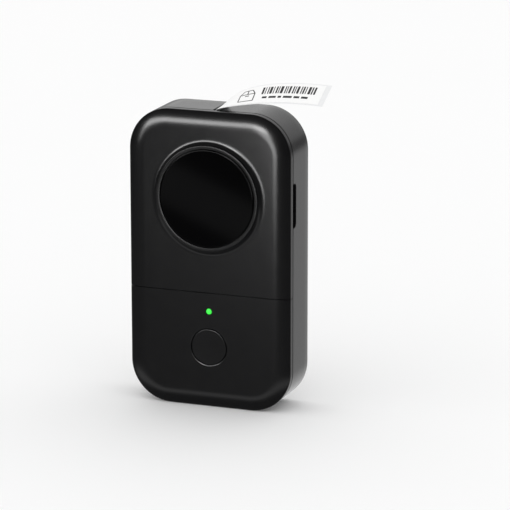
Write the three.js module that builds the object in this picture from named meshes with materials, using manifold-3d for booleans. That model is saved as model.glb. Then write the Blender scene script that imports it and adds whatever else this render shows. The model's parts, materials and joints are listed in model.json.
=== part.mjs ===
// A pocket thermal label printer that stands upright: a rear housing, a fixed lower cover with the
// power button, and a door with a round window over the label roll. Inside are the roll on its
// spindle, a print head pressed on a driven platen roller, and the board and battery below.
// Millimetres. X is to the right, Z is up, and the window faces along -Y.
// The origin is the middle of the flat bottom, under the middle of the label.
import * as THREE from "three";
import { mergeVertices } from "three/addons/utils/BufferGeometryUtils.js";
import Module from "manifold-3d";

const wasm = await Module();
wasm.setup();

// ---- Driving dimensions ----

// Clearances
const GAP = 0.3; // between pieces that touch or sit in each other
const CUT = 1; // how far a cutter runs past the face that it opens
const EDGE = 0.3; // the small chamfers on moulded edges

// Casing
const WIDTH = 76;
const HEIGHT = 135;
const CORNER_RADIUS = 19;
const WALL = 1.8;
const FRONT_DEPTH = 5; // from the face back to the parting line
const CROWN_WIDTH = 8; // the face rolls off over this width all round
const CROWN_RADIUS = 17;
const BACK_EDGE_RADIUS = 0.6;
const SEAM_Z = 53; // between the lower cover and the door

// Label roll
const LABEL_WIDTH = 14;
const LABEL_THICKNESS = 0.3;
const ROLL_RADIUS = 20;
const ROLL_BELOW_TOP = 41;
const CORE_RADIUS = 8;
const CORE_WALL = 1;
const SPINDLE_WALL = 1.6;
const WELL_CLEARANCE = 1.6;
const WELL_WALL = 1.2;
const WELL_OPENING = [62, 150]; // degrees from +X, where the label leaves the well
const SPINDLE_PROUD = 0.8; // the spindle stands in front of the roll's side by this

// Label path
const EXIT_X = 1.5; // where the label passes the top face
const EXIT_SLOT = [-1.2, 1.6]; // the slot's two walls, measured square to the label
const NIP_BELOW_EXIT = 12; // along the label
const TAIL_PAST_SIDE = 13; // how far the printed label hangs past the right side
const TAIL_RISE = 8.3;
const TAIL_TWIST = 30; // degrees, the back edge higher
const TAIL_TWIST_LENGTH = 10;
const TAIL_LEAD = 3.2; // how far the label keeps its direction past the exit
const TAIL_CREST = 1.9; // how far the bend's control point is above the label's end

// Print mechanism
const FLOOR = 1; // the tray's floor, which carries the mechanism
const FLOOR_CLEARANCE = 0.6; // from the roll's side to the floor
const DOOR_CLEARANCE = 3.7; // from the roll's side to the door's inner face
const PLATEN_RADIUS = 4;
const SHAFT_RADIUS = 0.75;
const ARM_SIZE = [2.4, 1.6]; // width and thickness of the arm to the platen's front bearing
const ARM_BESIDE_PLATEN = 1.3;
const BEARING_RING = 0.8; // the arm's ring outside the bush
const BUSH_WALL = 0.9;
const HEAD_SPAN = [-8.5, 3.5]; // along the label, from the nip
const HEAD_THICKNESS = 1;
const SINK_THICKNESS = 2;
const PIVOT_FROM_NIP = 11;
const PIVOT_RADIUS = 1;
const SPRING_RADIUS = 1.7;
const SPRING_WIRE = 0.25;
const SPRING_LENGTH = 4.4;
const SPRING_TURNS = 4;
const SPRING_ALONG = -2.5; // along the label, from the nip
const SPRING_WALL_SPAN = 6;
const SINK_GROOVES = 4;
const SINK_GROOVE_SIZE = [1, 0.8]; // width and depth
const TEAR_BAR_SIZE = [3.9, 0.45]; // along the label, and thickness
const TEAR_BAR_BELOW_EXIT = 0.6;
const TEAR_TEETH = 14;
const TEAR_TOOTH_DEPTH = 0.5;
const SENSOR_BELOW_PIVOT = 3.6;
const SENSOR_SIZE = [3.4, 2.2]; // along the label, and square to it
const RIBBON_WIDTH = 5.7;
const MODULE = 0.6;
const PLATEN_TEETH = 18;
const IDLER_TEETH = 24;
const PINION_TEETH = 12;
const GEAR_WIDTH = 1.5;
const PRESSURE_ANGLE = 20; // degrees
const ADDENDUM = 0.5;
const DEDENDUM = 0.7;
const BACKLASH = 0.2;
const IDLER_PIN_RADIUS = 1;
const MOTOR_BESIDE_ARM = 1.08; // from the platen's arm to the motor's ear
const MOTOR_BELOW_TOP = 15;
const MOTOR_RADIUS = 7.5;
const MOTOR_LENGTH = 9;
const MOTOR_EAR = [2.4, 4, 0.8]; // reach to the screw and past it, width and thickness
const MOTOR_SHAFT_INSIDE = 3;

// Door and hinge
const HINGE_RADIUS = 1.6;
const HINGE_PIN_RADIUS = 0.6;
const HINGE_GROOVE = 0.9; // clearance round the door's barrel
const KNUCKLE_LENGTH = 6;
const KNUCKLE_INSET = 8; // from each end of the barrel
const GROOVE_RUNOUT = 9; // the groove runs up past the straight side, clear of the door's corner
const HINGE_WALL_SHORT = 2; // the thicker wall stops below the barrel's top
const WINDOW_BELOW_TOP = 38.6;
const WINDOW_RADIUS = 22;
const WINDOW_RIM = 2;
const WINDOW_RAISE = 2.2;
const WINDOW_FILLET = 1.8;
const WINDOW_THICKNESS = 1.5;
const SPIGOT_SIZE = [1, 1]; // wall and height of the ring behind the window
const SPIGOT_BITE = 0.2; // how far the ring's root runs into the window
const NOTCH_BELOW_TOP = 40.6;
const NOTCH_LENGTH = 20;
const NOTCH_WIDTH = 4;
const NOTCH_DEPTH = 3.6;
const NOTCH_CHAMFER = 2;
const LATCH_LENGTH = 6;
const LATCH_ABOVE_SEAM = 14;
const LATCH_REACH = 2; // past the housing's rim

// Controls, board and battery
const BUTTON_Z = 28.1;
const BUTTON_RADIUS = 8.2;
const BUTTON_TRAVEL = 0.5;
const LIGHT_Z = 44.45;
const LIGHT_RADIUS = 1.15;
const LIGHT_HOLE_GAP = 0.2;
const LED_SIZE = [1.6, 0.6, 1];
const FLANGE = [1, 0.8]; // how far a flange behind the cover reaches out, and its thickness
const STEM_RADIUS = 2.2;
const BOARD_FROM_FACE = 8.5;
const BOARD_THICKNESS = 1.6;
const BOARD_TOP_MARGIN = 3.5; // below the seam
const SWITCH_SIZE = 6;
const SWITCH_HEIGHT = 2.7;
const PLUNGER = [1.4, 0.8, 0.6]; // radius, and how far it stands out of and in the switch
const CHIP_CENTRE = [13, 40];
const CHIP_SIZE = [8, 1]; // width and height, and thickness
const PORT_Z = 30;
const PORT_SIZE = [7.3, 9, 3.2]; // length, height and depth of the charging socket
const PORT_WALL = 0.35;
const TONGUE_SIZE = [0.7, 6.4]; // thickness and height
const TONGUE_INSET = 0.9; // from the socket's mouth
const BOARD_MARGIN = 1.4;
const BATTERY_SIZE = [42, 7, 32];
const BATTERY_ROUNDING = [3, 1.2]; // corners and edges
const SCREW_RADIUS = 1;
const SCREW_HEAD_RADIUS = 1.9;
const SCREW_HEAD_HEIGHT = 1.2;
const SCREW_RECESS = [1.1, 0.22, 0.7]; // reach, half width and depth of the cross
const BOSS_WALL = 1.3;
const COVER_SCREW_INSET = 10; // from the body's side
const COVER_SCREW_Z = 14;
const COVER_SCREW_DEPTH = 1; // the head lies this far below the back face
const COVER_SCREW_BITE = 2;
const BOARD_SCREW_INSET = 4; // from the board's top
const BOARD_SCREW_BITE = 5;
const TRAY_SCREW_INSET = 7;
const TRAY_SCREW_ABOVE_SHELF = 6;
const TRAY_SCREW_BELOW_TOP = 24;
const TRAY_SCREW_BITE = 2;

// ---- Sizes that follow from them ----

const TOP_Z = HEIGHT;
const SIDE_X = WIDTH / 2;
const FLOOR_Y = LABEL_WIDTH / 2 + FLOOR_CLEARANCE;
const GEAR_Y = FLOOR_Y + FLOOR + GAP;
const BACK_INNER_Y = GEAR_Y + GEAR_WIDTH + GAP;
const BACK_Y = BACK_INNER_Y + WALL;
const DOOR_INNER_Y = -(LABEL_WIDTH / 2 + DOOR_CLEARANCE);
const FACE_Y = DOOR_INNER_Y - WALL;
const PARTING_Y = FACE_Y + FRONT_DEPTH;
const REAR_RIM_Y = PARTING_Y + GAP / 2;
const FRONT_RIM_Y = PARTING_Y - GAP / 2;
const INNER_X = SIDE_X - WALL;
const TRAY_BOTTOM_Z = SEAM_Z + 3;
const BOARD_Y = FACE_Y + BOARD_FROM_FACE;
const BOARD_TOP_Z = SEAM_Z - BOARD_TOP_MARGIN;
const BOARD_BACK_Y = BOARD_Y + BOARD_THICKNESS;
const coreInner = CORE_RADIUS - CORE_WALL;
const spindleRadius = coreInner - GAP;
const portY = BOARD_BACK_Y + GAP + PORT_SIZE[2] / 2;
const coverSeatY = BACK_Y - SCREW_HEAD_HEIGHT - COVER_SCREW_DEPTH;
const latchZ = [SEAM_Z + LATCH_ABOVE_SEAM, TOP_Z - CORNER_RADIUS - LATCH_LENGTH];

// ---- Solids ----

// A closed geometry as a solid, turned round where its faces point inwards.
function solid(geometry) {
  const bare = new THREE.BufferGeometry();
  bare.setAttribute("position", geometry.getAttribute("position").clone());
  if (geometry.index) bare.setIndex(geometry.index);
  const merged = mergeVertices(bare, 1e-4);
  const faces = new Uint32Array(merged.index.array);
  const vertProperties = merged.attributes.position.array;
  const made = new wasm.Manifold(new wasm.Mesh({ numProp: 3, vertProperties, triVerts: faces }));
  if (made.volume() > 0) return made;
  const turned = faces.slice().reverse();
  return new wasm.Manifold(new wasm.Mesh({ numProp: 3, vertProperties, triVerts: turned }));
}

// A shape drawn in X and Z, extruded from yFront back to yBack.
function prism(shape, yFront, yBack, curveSegments = 5) {
  const options = { depth: yBack - yFront, bevelEnabled: false, curveSegments };
  return solid(new THREE.ExtrudeGeometry(shape, options).rotateX(Math.PI / 2).translate(0, yBack, 0));
}

// The same with both ends' edges rounded.
function roundedPrism(shape, yFront, yBack, radius, curveSegments = 5, bevelSegments = 3) {
  const options = {
    depth: yBack - yFront - 2 * radius,
    bevelThickness: radius,
    bevelSize: radius,
    bevelOffset: -radius,
    bevelSegments,
    curveSegments,
  };
  const geometry = new THREE.ExtrudeGeometry(shape, options).rotateX(Math.PI / 2);
  return solid(geometry.translate(0, yBack - radius, 0));
}

// A shape drawn in Z (turned round) and Y, extruded along X.
function bar(shape, xLow, xHigh, z, y) {
  const options = { depth: xHigh - xLow, bevelEnabled: false, curveSegments: 4 };
  return solid(new THREE.ExtrudeGeometry(shape, options).rotateY(Math.PI / 2).translate(xLow, y, z));
}

function block(x, y, z) {
  const size = [x, y, z].map(([low, high]) => high - low);
  const middle = [x, y, z].map(([low, high]) => (low + high) / 2);
  return solid(new THREE.BoxGeometry(...size).translate(...middle));
}

// A profile of [radius, y] points turned about a line along Y through [x, z].
function turned(profile, [x, z], segments = 32) {
  const points = profile.map(([radius, y]) => new THREE.Vector2(radius, y));
  return solid(new THREE.LatheGeometry(points, segments).translate(x, 0, z));
}

function rod(radius, yFront, yBack, centre, segments = 24) {
  return turned([[0, yFront], [radius, yFront], [radius, yBack], [0, yBack]], centre, segments);
}

function tube(inner, outer, yFront, yBack, centre, segments = 32) {
  const profile = [[inner, yFront], [outer, yFront], [outer, yBack], [inner, yBack], [inner, yFront]];
  return turned(profile, centre, segments);
}

// An upright rod along Z.
function upright(radius, zLow, zHigh, x, y, segments = 20) {
  const geometry = new THREE.CylinderGeometry(radius, radius, zHigh - zLow, segments);
  return solid(geometry.rotateX(Math.PI / 2).translate(x, y, (zLow + zHigh) / 2));
}

function roundedRectangle(xLow, xHigh, zLow, zHigh, radius) {
  const shape = new THREE.Shape();
  shape.absarc(xHigh - radius, zLow + radius, radius, -Math.PI / 2, 0, false);
  shape.absarc(xHigh - radius, zHigh - radius, radius, 0, Math.PI / 2, false);
  shape.absarc(xLow + radius, zHigh - radius, radius, Math.PI / 2, Math.PI, false);
  shape.absarc(xLow + radius, zLow + radius, radius, Math.PI, Math.PI * 1.5, false);
  shape.closePath();
  return shape;
}

// The casing's outline, moved in by inset.
function outline(inset) {
  return roundedRectangle(-SIDE_X + inset, SIDE_X - inset, inset, HEIGHT - inset, CORNER_RADIUS - inset);
}

function polygon(points) {
  return new THREE.Shape(points.map(([x, z]) => new THREE.Vector2(x, z)));
}

function ringSector(inner, outer, [x, z], fromDegrees, toDegrees) {
  const [from, to] = [fromDegrees, toDegrees].map(THREE.MathUtils.degToRad);
  const shape = new THREE.Shape();
  shape.absarc(x, z, outer, from, to, false);
  shape.absarc(x, z, inner, to, from, true);
  shape.closePath();
  return shape;
}

// ---- Pieces ----

const FINISHES = {
  casing: { color: 0x26272a, roughness: 0.45, metalness: 0 },
  door: { color: 0x232427, roughness: 0.42, metalness: 0 },
  tray: { color: 0x1c1d1f, roughness: 0.6, metalness: 0 },
  window: { color: 0x08090b, roughness: 0.08, metalness: 0 },
  button: { color: 0x2b2c2f, roughness: 0.4, metalness: 0 },
  light: { color: 0x54e25f, roughness: 0.3, metalness: 0 },
  paper: { color: 0xf6f6f4, roughness: 0.75, metalness: 0 },
  card: { color: 0xc9b59a, roughness: 0.85, metalness: 0 },
  steel: { color: 0xb9bcc0, roughness: 0.3, metalness: 1 },
  aluminium: { color: 0xc4c7ca, roughness: 0.4, metalness: 1 },
  rubber: { color: 0x1a1a1b, roughness: 0.85, metalness: 0 },
  acetal: { color: 0xe7e5de, roughness: 0.4, metalness: 0 },
  ceramic: { color: 0xded9cd, roughness: 0.35, metalness: 0 },
  board: { color: 0x14532b, roughness: 0.5, metalness: 0 },
  chip: { color: 0x151617, roughness: 0.55, metalness: 0 },
  battery: { color: 0x8f9499, roughness: 0.35, metalness: 0.4 },
  brass: { color: 0xb89b56, roughness: 0.35, metalness: 1 },
  film: { color: 0xd8c9a2, roughness: 0.45, metalness: 0 },
};

const printer = new THREE.Group();

function piece(name, made, finish) {
  const mesh = made.getMesh();
  const geometry = new THREE.BufferGeometry();
  geometry.setAttribute("position", new THREE.BufferAttribute(mesh.vertProperties.slice(), 3));
  geometry.setIndex(new THREE.BufferAttribute(mesh.triVerts.slice(), 1));
  geometry.computeVertexNormals();
  const part = new THREE.Mesh(geometry, new THREE.MeshStandardMaterial(FINISHES[finish]));
  part.name = name;
  printer.add(part);
}

// ---- The label's path ----

const rollCentre = new THREE.Vector2(0, TOP_Z - ROLL_BELOW_TOP);
const exit = new THREE.Vector2(EXIT_X, TOP_Z);

// The label leaves the roll's left side on the tangent that passes through the exit.
const pathRadius = ROLL_RADIUS + GAP + LABEL_THICKNESS / 2;
const toExit = exit.clone().sub(rollCentre);
const tangentAngle = toExit.angle() + Math.acos(pathRadius / toExit.length());
const squareToLabel = new THREE.Vector2(Math.cos(tangentAngle), Math.sin(tangentAngle));
const alongLabel = new THREE.Vector2(squareToLabel.y, -squareToLabel.x);
const tangentPoint = rollCentre.clone().addScaledVector(squareToLabel, pathRadius);
const nip = exit.clone().addScaledVector(alongLabel, -NIP_BELOW_EXIT);

// A point given along the label from the nip, and square to it on the print head's side.
function fromNip(along, square) {
  const point = nip.clone().addScaledVector(alongLabel, along).addScaledVector(squareToLabel, square);
  return [point.x, point.y];
}

// A box whose section is lined up with the label.
function alongBlock([alongLow, alongHigh], [squareLow, squareHigh], [yFront, yBack]) {
  const corners = [
    fromNip(alongLow, squareLow),
    fromNip(alongHigh, squareLow),
    fromNip(alongHigh, squareHigh),
    fromNip(alongLow, squareHigh),
  ];
  return prism(polygon(corners), yFront, yBack);
}

const labelSide = LABEL_THICKNESS / 2 + GAP;
const platenCentre = fromNip(0, -(PLATEN_RADIUS + labelSide));
const [armWidth, armThickness] = ARM_SIZE;
const armX = platenCentre[0] + PLATEN_RADIUS + ARM_BESIDE_PLATEN;
const [earReach, earWidth, earThickness] = MOTOR_EAR;
const motorEar = MOTOR_RADIUS + earReach;
const motorReach = motorEar + earReach;
const motorCentre = [armX + armWidth + MOTOR_BESIDE_ARM + motorReach, TOP_Z - MOTOR_BELOW_TOP];

// ---- Door hinge, along Z at the left edge of the parting line ----

const hingeX = -SIDE_X + HINGE_RADIUS;
const hingeLow = SEAM_Z + GAP;
const hingeHigh = TOP_Z - CORNER_RADIUS - GAP;
const grooveRadius = HINGE_RADIUS + HINGE_GROOVE;
const knuckles = [hingeLow + KNUCKLE_INSET, hingeHigh - KNUCKLE_INSET - KNUCKLE_LENGTH];
const pinHole = HINGE_PIN_RADIUS + GAP;
const hingeBossX = hingeX + grooveRadius + WALL;
const hingeBossY = PARTING_Y + grooveRadius + WALL;

// ---- Screws and bosses ----

const coverScrewX = SIDE_X - COVER_SCREW_INSET;
const coverScrews = [[-coverScrewX, COVER_SCREW_Z], [coverScrewX, COVER_SCREW_Z]];
const boardScrewZ = BOARD_TOP_Z - BOARD_SCREW_INSET;
const boardScrews = [[-coverScrewX, boardScrewZ], [coverScrewX, boardScrewZ]];
const trayScrewX = SIDE_X - TRAY_SCREW_INSET;
const trayScrewLow = TRAY_BOTTOM_Z + TRAY_SCREW_ABOVE_SHELF;
const trayScrewTop = TOP_Z - TRAY_SCREW_BELOW_TOP;
const trayScrews = [
  [-trayScrewX, trayScrewLow],
  [trayScrewX, trayScrewLow],
  [-trayScrewX, trayScrewTop],
  [trayScrewX, trayScrewTop],
];
const holeRadius = SCREW_RADIUS + GAP;
const bossRadius = holeRadius + BOSS_WALL;

// A pan-head screw along Y with a cross recess, its head towards the front, or the back.
function screw(headY, length, [x, z], headTowards) {
  const seat = headY + headTowards * SCREW_HEAD_HEIGHT;
  const tip = headY - headTowards * length;
  const profile = [
    [0, tip],
    [SCREW_RADIUS, tip],
    [SCREW_RADIUS, headY],
    [SCREW_HEAD_RADIUS, headY],
    [SCREW_HEAD_RADIUS, seat],
    [0, seat],
  ];
  const [arm, half, depth] = SCREW_RECESS;
  const recessY = [seat - headTowards * depth, seat + headTowards * CUT].sort((a, b) => a - b);
  return turned(profile, [x, z], 12)
    .subtract(block([x - arm, x + arm], recessY, [z - half, z + half]))
    .subtract(block([x - half, x + half], recessY, [z - arm, z + arm]));
}

// ---- Casing ----

// The front's rounded face: a wider body whose rolled edge lies over the outline.
function crowned(faceY) {
  const bigger = outline(CROWN_WIDTH - CROWN_RADIUS);
  return roundedPrism(bigger, faceY, faceY + 2 * CROWN_RADIUS + CUT, CROWN_RADIUS, 5, 16);
}

const frontShell = prism(outline(0), FACE_Y - CUT, FRONT_RIM_Y)
  .intersect(crowned(FACE_Y))
  .subtract(prism(outline(WALL), FACE_Y - CUT, FRONT_RIM_Y + CUT).intersect(crowned(DOOR_INNER_Y)));

function aboveZ(low) {
  return block([-WIDTH, WIDTH], [FACE_Y - WIDTH, BACK_Y + CUT], [low, 2 * HEIGHT]);
}

function belowZ(high) {
  return block([-WIDTH, WIDTH], [FACE_Y - WIDTH, BACK_Y + CUT], [-CUT, high]);
}

function rearHousing() {
  const rounded = roundedPrism(outline(0), PARTING_Y - FRONT_DEPTH, BACK_Y, BACK_EDGE_RADIUS);
  let made = rounded.intersect(block([-WIDTH, WIDTH], [REAR_RIM_Y, BACK_Y + CUT], [-CUT, HEIGHT + CUT]));
  made = made.subtract(prism(outline(WALL), REAR_RIM_Y - CUT, BACK_INNER_Y));

  // The finger notch is a pocket in the right wall with a floor behind it.
  const notchZ = TOP_Z - NOTCH_BELOW_TOP;
  const notchLow = notchZ - NOTCH_LENGTH / 2;
  const notchHigh = notchZ + NOTCH_LENGTH / 2;
  const notchBack = PARTING_Y + NOTCH_WIDTH;
  const pocketX = SIDE_X - NOTCH_DEPTH;
  made = made.add(
    block([pocketX - WELL_WALL, SIDE_X - WALL / 2], [REAR_RIM_Y, notchBack + WELL_WALL],
      [notchLow - WELL_WALL, notchHigh + WELL_WALL]),
  );
  const half = NOTCH_LENGTH / 2;
  const notchOutline = polygon([
    [half, REAR_RIM_Y - CUT],
    [-half, REAR_RIM_Y - CUT],
    [-half, notchBack - NOTCH_CHAMFER],
    [-half + NOTCH_CHAMFER, notchBack],
    [half - NOTCH_CHAMFER, notchBack],
    [half, notchBack - NOTCH_CHAMFER],
  ]);
  made = made.subtract(bar(notchOutline, pocketX, SIDE_X + CUT, notchZ, 0));

  // The label's slot in the top wall, open at the parting line so that a label drops in.
  made = made.subtract(
    alongBlock([NIP_BELOW_EXIT - 3 * WALL, NIP_BELOW_EXIT + 3 * WALL],
      [-EXIT_SLOT[1], -EXIT_SLOT[0]], [REAR_RIM_Y - CUT, BACK_INNER_Y - GAP]),
  );

  // The charging socket's hole in the left wall.
  const [, portHeight, portDepth] = PORT_SIZE;
  const portHole = roundedRectangle(-portHeight / 2 - GAP, portHeight / 2 + GAP,
    -portDepth / 2 - GAP, portDepth / 2 + GAP, portDepth / 2);
  made = made.subtract(bar(portHole, -SIDE_X - CUT, -INNER_X + CUT, PORT_Z, portY));

  // Bosses for the screws. Those of the lower cover are cleared from the back.
  for (const centre of trayScrews) {
    made = made.add(rod(bossRadius, FLOOR_Y + FLOOR + GAP, BACK_INNER_Y + WALL / 2, centre, 14));
    made = made.subtract(rod(holeRadius, FLOOR_Y, BACK_INNER_Y + WALL / 3, centre, 12));
  }
  for (const centre of boardScrews) {
    made = made.add(rod(bossRadius, BOARD_BACK_Y + GAP, BACK_INNER_Y + WALL / 2, centre, 14));
    made = made.subtract(rod(holeRadius, BOARD_Y, BACK_INNER_Y - WALL, centre, 12));
  }
  for (const centre of coverScrews) {
    made = made.add(rod(bossRadius + 1, BOARD_BACK_Y + GAP, BACK_INNER_Y + WALL / 2, centre, 14));
    made = made.subtract(rod(holeRadius, BOARD_Y, BACK_Y + CUT, centre, 12));
    made = made.subtract(rod(SCREW_HEAD_RADIUS + GAP, coverSeatY, BACK_Y + CUT, centre, 14));
  }

  // The hinge: a thicker wall, the groove for the door's barrel, and two knuckles.
  made = made.add(
    block([-SIDE_X + WALL / 2, hingeBossX], [REAR_RIM_Y, hingeBossY],
      [hingeLow, hingeHigh - HINGE_WALL_SHORT]),
  );
  const grooveTop = TOP_Z - CORNER_RADIUS + GROOVE_RUNOUT;
  made = made.subtract(upright(grooveRadius, SEAM_Z, grooveTop, hingeX, PARTING_Y, 32));
  for (const low of knuckles) {
    const high = low + KNUCKLE_LENGTH;
    const reach = grooveRadius + GAP;
    made = made.add(upright(HINGE_RADIUS, low, high, hingeX, PARTING_Y));
    made = made.add(block([hingeX, hingeX + reach], [PARTING_Y + GAP, PARTING_Y + reach], [low, high]));
  }
  return made.subtract(upright(pinHole, knuckles[0] - 2 * CUT, knuckles[1] + KNUCKLE_LENGTH + 2 * CUT,
    hingeX, PARTING_Y, 16));
}

function door() {
  const windowZ = TOP_Z - WINDOW_BELOW_TOP;
  const rimInner = WINDOW_RADIUS + GAP;
  const rimOuter = WINDOW_RADIUS + WINDOW_RIM;
  const rimY = FACE_Y - WINDOW_RAISE;
  const fillet = Array.from({ length: 5 }, (_, step) => {
    const angle = Math.PI / 2 + (Math.PI / 2) * (step / 4);
    return [
      rimOuter + WINDOW_FILLET * (1 + Math.cos(angle)),
      FACE_Y - WINDOW_FILLET * (1 - Math.sin(angle)),
    ];
  });
  const turret = [
    [0, rimY],
    [rimOuter - EDGE, rimY],
    [rimOuter, rimY + EDGE],
    ...fillet.reverse(),
    [rimOuter + WINDOW_FILLET, FACE_Y + WALL / 2],
    [0, FACE_Y + WALL / 2],
  ];
  const shelfY = rimY + WINDOW_THICKNESS + GAP;
  let made = frontShell
    .intersect(aboveZ(SEAM_Z + GAP / 2))
    .add(turned(turret, [0, windowZ], 48))
    .subtract(rod(rimInner, rimY - CUT, shelfY, [0, windowZ], 48))
    .subtract(rod(WINDOW_RADIUS - WINDOW_RIM, rimY - CUT, DOOR_INNER_Y + CUT, [0, windowZ], 48));

  // The barrel of the hinge, cut away round the housing's knuckles.
  made = made.add(upright(HINGE_RADIUS, hingeLow, hingeHigh, hingeX, PARTING_Y));
  for (const low of knuckles) {
    made = made.subtract(
      upright(HINGE_RADIUS + GAP, low - GAP, low + KNUCKLE_LENGTH + GAP, hingeX, PARTING_Y, 32),
    );
  }
  made = made.subtract(upright(pinHole, hingeLow + CUT, hingeHigh - CUT, hingeX, PARTING_Y, 16));

  // Two tabs on the right rim slide inside the housing's wall and hold the door shut.
  const tabX = INNER_X - GAP;
  for (const z of latchZ) {
    made = made.add(
      block([tabX - WELL_WALL, tabX], [DOOR_INNER_Y, REAR_RIM_Y + LATCH_REACH], [z, z + LATCH_LENGTH])
        .add(block([tabX - WELL_WALL, INNER_X + WALL / 2], [DOOR_INNER_Y, FRONT_RIM_Y], [z, z + LATCH_LENGTH])),
    );
  }
  return made.intersect(prism(outline(0), rimY - CUT, BACK_Y));
}

function lowerCover() {
  const holeForButton = BUTTON_RADIUS + GAP;
  let made = frontShell
    .intersect(belowZ(SEAM_Z - GAP / 2))
    .subtract(rod(holeForButton, FACE_Y - CUT, DOOR_INNER_Y + CUT, [0, BUTTON_Z], 40))
    .subtract(rod(LIGHT_RADIUS + LIGHT_HOLE_GAP, FACE_Y - CUT, DOOR_INNER_Y + CUT, [0, LIGHT_Z], 20));
  // Posts that the two screws from the back bite into.
  for (const centre of coverScrews) {
    made = made
      .add(rod(bossRadius, DOOR_INNER_Y - WALL / 2, BOARD_BACK_Y, centre, 14))
      .subtract(rod(holeRadius, DOOR_INNER_Y + CUT, BOARD_BACK_Y + CUT, centre, 12));
  }
  return made;
}

piece("rear_housing", rearHousing(), "casing");
piece("lower_front_cover", lowerCover(), "casing");
piece("roll_door", door(), "door");

const windowCentre = [0, TOP_Z - WINDOW_BELOW_TOP];
const windowY = FACE_Y - WINDOW_RAISE;
const windowBack = windowY + WINDOW_THICKNESS;
const spigot = WINDOW_RADIUS - WINDOW_RIM - GAP;
const [spigotWall, spigotHeight] = SPIGOT_SIZE;
piece(
  "roll_window",
  turned([
    [0, windowY],
    [WINDOW_RADIUS - EDGE, windowY],
    [WINDOW_RADIUS, windowY + EDGE],
    [WINDOW_RADIUS, windowBack],
    [spigot, windowBack],
    [spigot, windowBack + spigotHeight],
    [spigot - spigotWall, windowBack + spigotHeight],
    [spigot - spigotWall, windowBack - SPIGOT_BITE],
    [0, windowBack - SPIGOT_BITE],
  ], windowCentre, 48),
  "window",
);
piece(
  "hinge_pin",
  upright(HINGE_PIN_RADIUS, hingeLow + 2 * CUT, hingeHigh - 2 * CUT, hingeX, PARTING_Y, 16),
  "steel",
);

// ---- Tray and spindle ----

const wellInner = ROLL_RADIUS + WELL_CLEARANCE;
const wellOuter = wellInner + WELL_WALL;
const trayFrontY = -(LABEL_WIDTH / 2);
const pivotSquare = labelSide + HEAD_THICKNESS + GAP + SINK_THICKNESS / 2;
const pivotCentre = fromNip(-PIVOT_FROM_NIP, pivotSquare);
const springSeat = labelSide + HEAD_THICKNESS + GAP + SINK_THICKNESS;
const springWall = springSeat + 2 * GAP + SPRING_LENGTH;
const armY = [trayFrontY - GAP - armThickness, trayFrontY - GAP];
const bushOuter = SHAFT_RADIUS + GAP + BUSH_WALL;

function tray() {
  const inside = outline(WALL + GAP);
  let made = prism(inside, FLOOR_Y, FLOOR_Y + FLOOR);
  const [opensFrom, opensTo] = WELL_OPENING;
  const centre = [rollCentre.x, rollCentre.y];
  const joined = FLOOR_Y + FLOOR / 2;
  made = made.add(prism(ringSector(wellInner, wellOuter, centre, opensTo, 360 + opensFrom),
    trayFrontY, joined, 20));
  const shelf = block([-INNER_X + GAP, INNER_X - GAP], [trayFrontY, joined],
    [TRAY_BOTTOM_Z, TRAY_BOTTOM_Z + WELL_WALL]);
  const hingeClear = block([-SIDE_X, hingeBossX + GAP], [FACE_Y, hingeBossY + GAP],
    [TRAY_BOTTOM_Z - CUT, TRAY_BOTTOM_Z + WELL_WALL + CUT]);
  made = made.add(shelf.subtract(hingeClear)).intersect(aboveZ(TRAY_BOTTOM_Z));

  // The arm that carries the platen's front bearing, on a post beside the roller.
  const [platenX, platenZ] = platenCentre;
  made = made
    .add(block([armX, armX + armWidth], [armY[0], joined], [platenZ - armWidth, platenZ + armWidth]))
    .add(block([platenX, armX + armWidth], armY, [platenZ - armWidth, platenZ + armWidth]))
    .add(rod(bushOuter + BEARING_RING, armY[0], armY[1], platenCentre, 24));
  made = made.subtract(rod(bushOuter + GAP, armY[0] - CUT, armY[1] + CUT, platenCentre, 20));
  made = made.subtract(rod(bushOuter + GAP, FLOOR_Y - CUT, FLOOR_Y + FLOOR + CUT, platenCentre, 20));

  // The wall that the head's spring pushes on.
  const half = SPRING_WALL_SPAN / 2;
  made = made.add(alongBlock([SPRING_ALONG - half, SPRING_ALONG + half], [springWall, springWall + WELL_WALL],
    [-half, joined]));

  // Holes for the pivot, the idler's pin, the motor's shaft, the spindle and the screws.
  const through = [FLOOR_Y - CUT, FLOOR_Y + FLOOR + CUT];
  made = made.subtract(rod(PIVOT_RADIUS + GAP, ...through, pivotCentre, 16));
  made = made.subtract(rod(IDLER_PIN_RADIUS + GAP, ...through, idlerCentre, 16));
  made = made.subtract(rod(SHAFT_RADIUS + 2 * GAP, ...through, motorCentre, 16));
  made = made.subtract(rod(spindleRadius - SPINDLE_WALL, ...through, centre, 24));
  for (const hole of [...trayScrews, ...motorScrews]) {
    made = made.subtract(rod(holeRadius, ...through, hole, 16));
  }
  return made;
}

// ---- Gear train, behind the tray's floor ----

const pitchRadius = (teeth) => (MODULE * teeth) / 2;

// The idler stands where its pitch circle meets those of the platen's gear and the motor's pinion.
function idlerPlace() {
  const [platen, motor] = [platenCentre, motorCentre].map(([x, z]) => new THREE.Vector2(x, z));
  const fromPlaten = pitchRadius(PLATEN_TEETH + IDLER_TEETH);
  const fromMotor = pitchRadius(PINION_TEETH + IDLER_TEETH);
  const apart = motor.clone().sub(platen);
  const distance = apart.length();
  const along = (fromPlaten ** 2 - fromMotor ** 2 + distance ** 2) / (2 * distance);
  const below = Math.sqrt(fromPlaten ** 2 - along ** 2);
  const unit = apart.divideScalar(distance);
  const place = platen.addScaledVector(unit, along).addScaledVector(new THREE.Vector2(unit.y, -unit.x), below);
  return [place.x, place.y];
}
const idlerCentre = idlerPlace();

const pressureAngle = THREE.MathUtils.degToRad(PRESSURE_ANGLE);

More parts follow.
